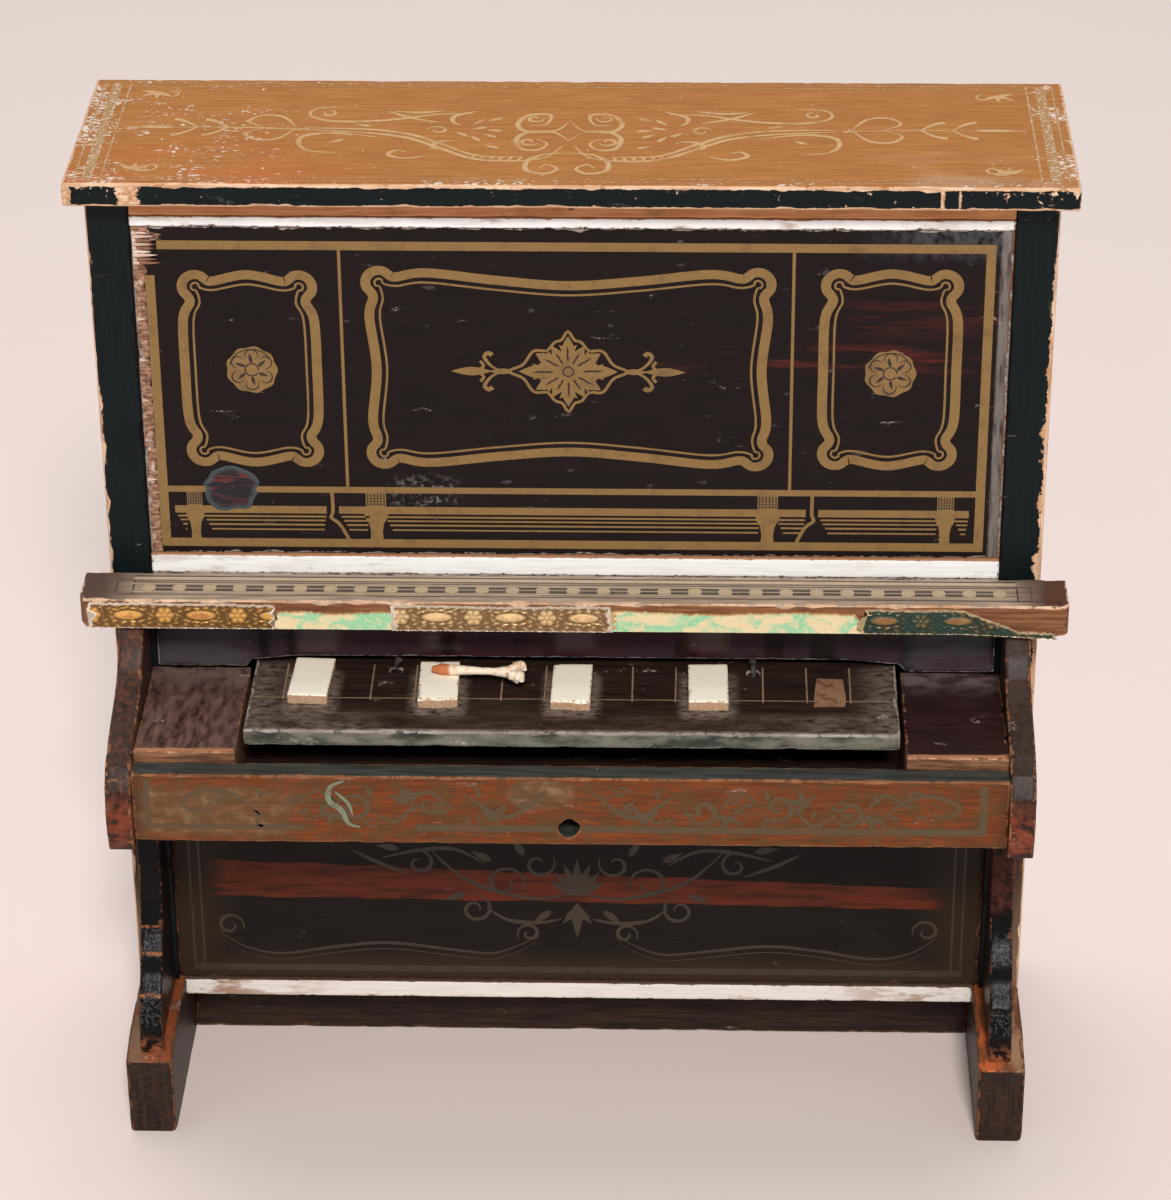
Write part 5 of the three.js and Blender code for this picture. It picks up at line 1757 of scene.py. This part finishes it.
def make_loose_stick():
    low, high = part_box("loose_stick")
    start = Vector((low.x, (low.y + high.y) / 2 + 0.55 * MM, (low.z + high.z) / 2))
    end = Vector((high.x - 2.6 * MM, (low.y + high.y) / 2 - 0.35 * MM, (low.z + high.z) / 2))
    red_end = (start.x + 2.4 * MM) / MM
    paint = cream_paint("stick_cream", (0.98, 0.82, 0.62), (0.50, 0.20, 0.09), red_end, stains=0.55)
    count = 26
    shaft, radii = [], []
    for i in range(count + 1):
        t = i / count
        p = start.lerp(end, t)
        p.z += 0.12 * MM * noise.noise(Vector((t * 6, 0, 1)))
        p.y += 0.16 * MM * noise.noise(Vector((t * 5, 3, 1)))
        shaft.append(p)
        tip = min(1.0, 0.45 + 5 * t)
        swell = 0.72 + 0.16 * math.sin(5 * t + 1.2) + (0.3 * max(0, t - 0.8) / 0.2)
        radii.append(0.98 * MM * swell * tip)
    tube("loose_stick_shaft", shaft, radii, paint, "loose_stick")
    for name, rise in (("upper", 1), ("lower", -1)):
        steps = 11
        path, radii = [], []
        for i in range(steps + 1):
            t = i / steps
            kink = 0.3 * noise.noise(Vector((t * 4.0, rise, 5.5)))
            reach = Vector((-0.4 + 2.5 * t, rise * (0.1 + 1.75 * t ** 0.8) + kink, 0.12 * t))
            path.append(end + reach * MM)
            radii.append(MM * (0.60 + 0.25 * math.sin(2.4 * t)) * (1 if t < 0.95 else 0.8))
        tube(f"loose_stick_prong_{name}", path, radii, paint, "loose_stick", replaces_it=False, rough=0.55)


def make_pins(steel):
    """Wire pins, bent over at the top."""
    steps, straight = 16, 0.8
    for side, lean in (("left", (0.5, -0.3)), ("right", (-0.15, 0.25))):
        node = f"guide_pin_{side}"
        low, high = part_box(node)
        middle = (low + high) / 2
        radius = (high.x - low.x) / 2
        path, radii = [], []
        for i in range(steps + 1):
            t = i / steps
            bend = max(0, t - straight) / (1 - straight)
            path.append((middle.x + lean[0] * bend ** 2 * MM, middle.y + lean[1] * bend * MM,
                         low.z + (high.z - low.z) * t))
            radii.append(radius * (1.0 if t < 0.9 else 1.25))
        tube(f"{node}_wire", path, radii, steel, node)


def make_springs(steel):
    """Coil springs above the keyboard board, each with a mesh of its own."""
    turns, steps, wire, kept = 6, 14, 0.3 * MM, 0.87
    for side in ("left", "right"):
        node = f"return_spring_{side}"
        low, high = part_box(node)
        middle = (low + high) / 2
        radius = (high.x - low.x) / 2 - wire
        path = []
        for i in range(turns * steps + 1):
            t = i / (turns * steps)
            angle = 2 * math.pi * turns * t
            path.append((middle.x + radius * math.cos(angle), middle.y + radius * math.sin(angle),
                         low.z + wire + (high.z - low.z - 2 * wire) * t))
        coil = tube(f"{node}_coil", path, [wire] * len(path), steel, node, sides=8, rough=0.03)
        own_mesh(coil)


def finish_inner_nodes(steel):
    """Nodes seen only through the gaps, or not at all, keep their shape and get real finishes."""
    pine = bare_wood("inner_pine", (0.48, 0.27, 0.13), (0.30, 0.14, 0.06))
    felt = wool_felt("red_felt")
    finishes = {"raw_wood": pine, "steel": steel, "felt": felt}
    for node, made in frame["nodes"].items():
        slot = slot_of(node)
        if slot in finishes:
            made.data.materials[0] = finishes[slot]


def make_floor():
    half = 0.9
    verts = [(-half, -half, 0), (half, -half, 0), (half, half, 0), (-half, half, 0)]
    cloth = make_object("floor", verts, [(0, 1, 2, 3)], [floor_finish()])


make_camera()
make_studio()
make_lid()
make_sides()
make_panels()
make_front_rail()
make_music_ledge()
make_key_blocks_and_supports()
stain_across = coated_wood("stain_across", STAIN, bare=WORN_DARK, wear=0.02, ragged=0.6)
make_key_bed_and_keyboard(stain_across)
make_white_strips()
make_top_rail()
make_back_and_floor(stain_across)
make_upper_panel_print()
make_lid_print()
make_lower_panel_print()
make_rail_print()
make_ledge_print()
make_key_lines()
make_ledge_papers()
make_raised_keys()
make_loose_stick()
dull_steel = old_steel("dull_steel")
make_pins(dull_steel)
make_springs(dull_steel)
finish_inner_nodes(dull_steel)
make_floor()
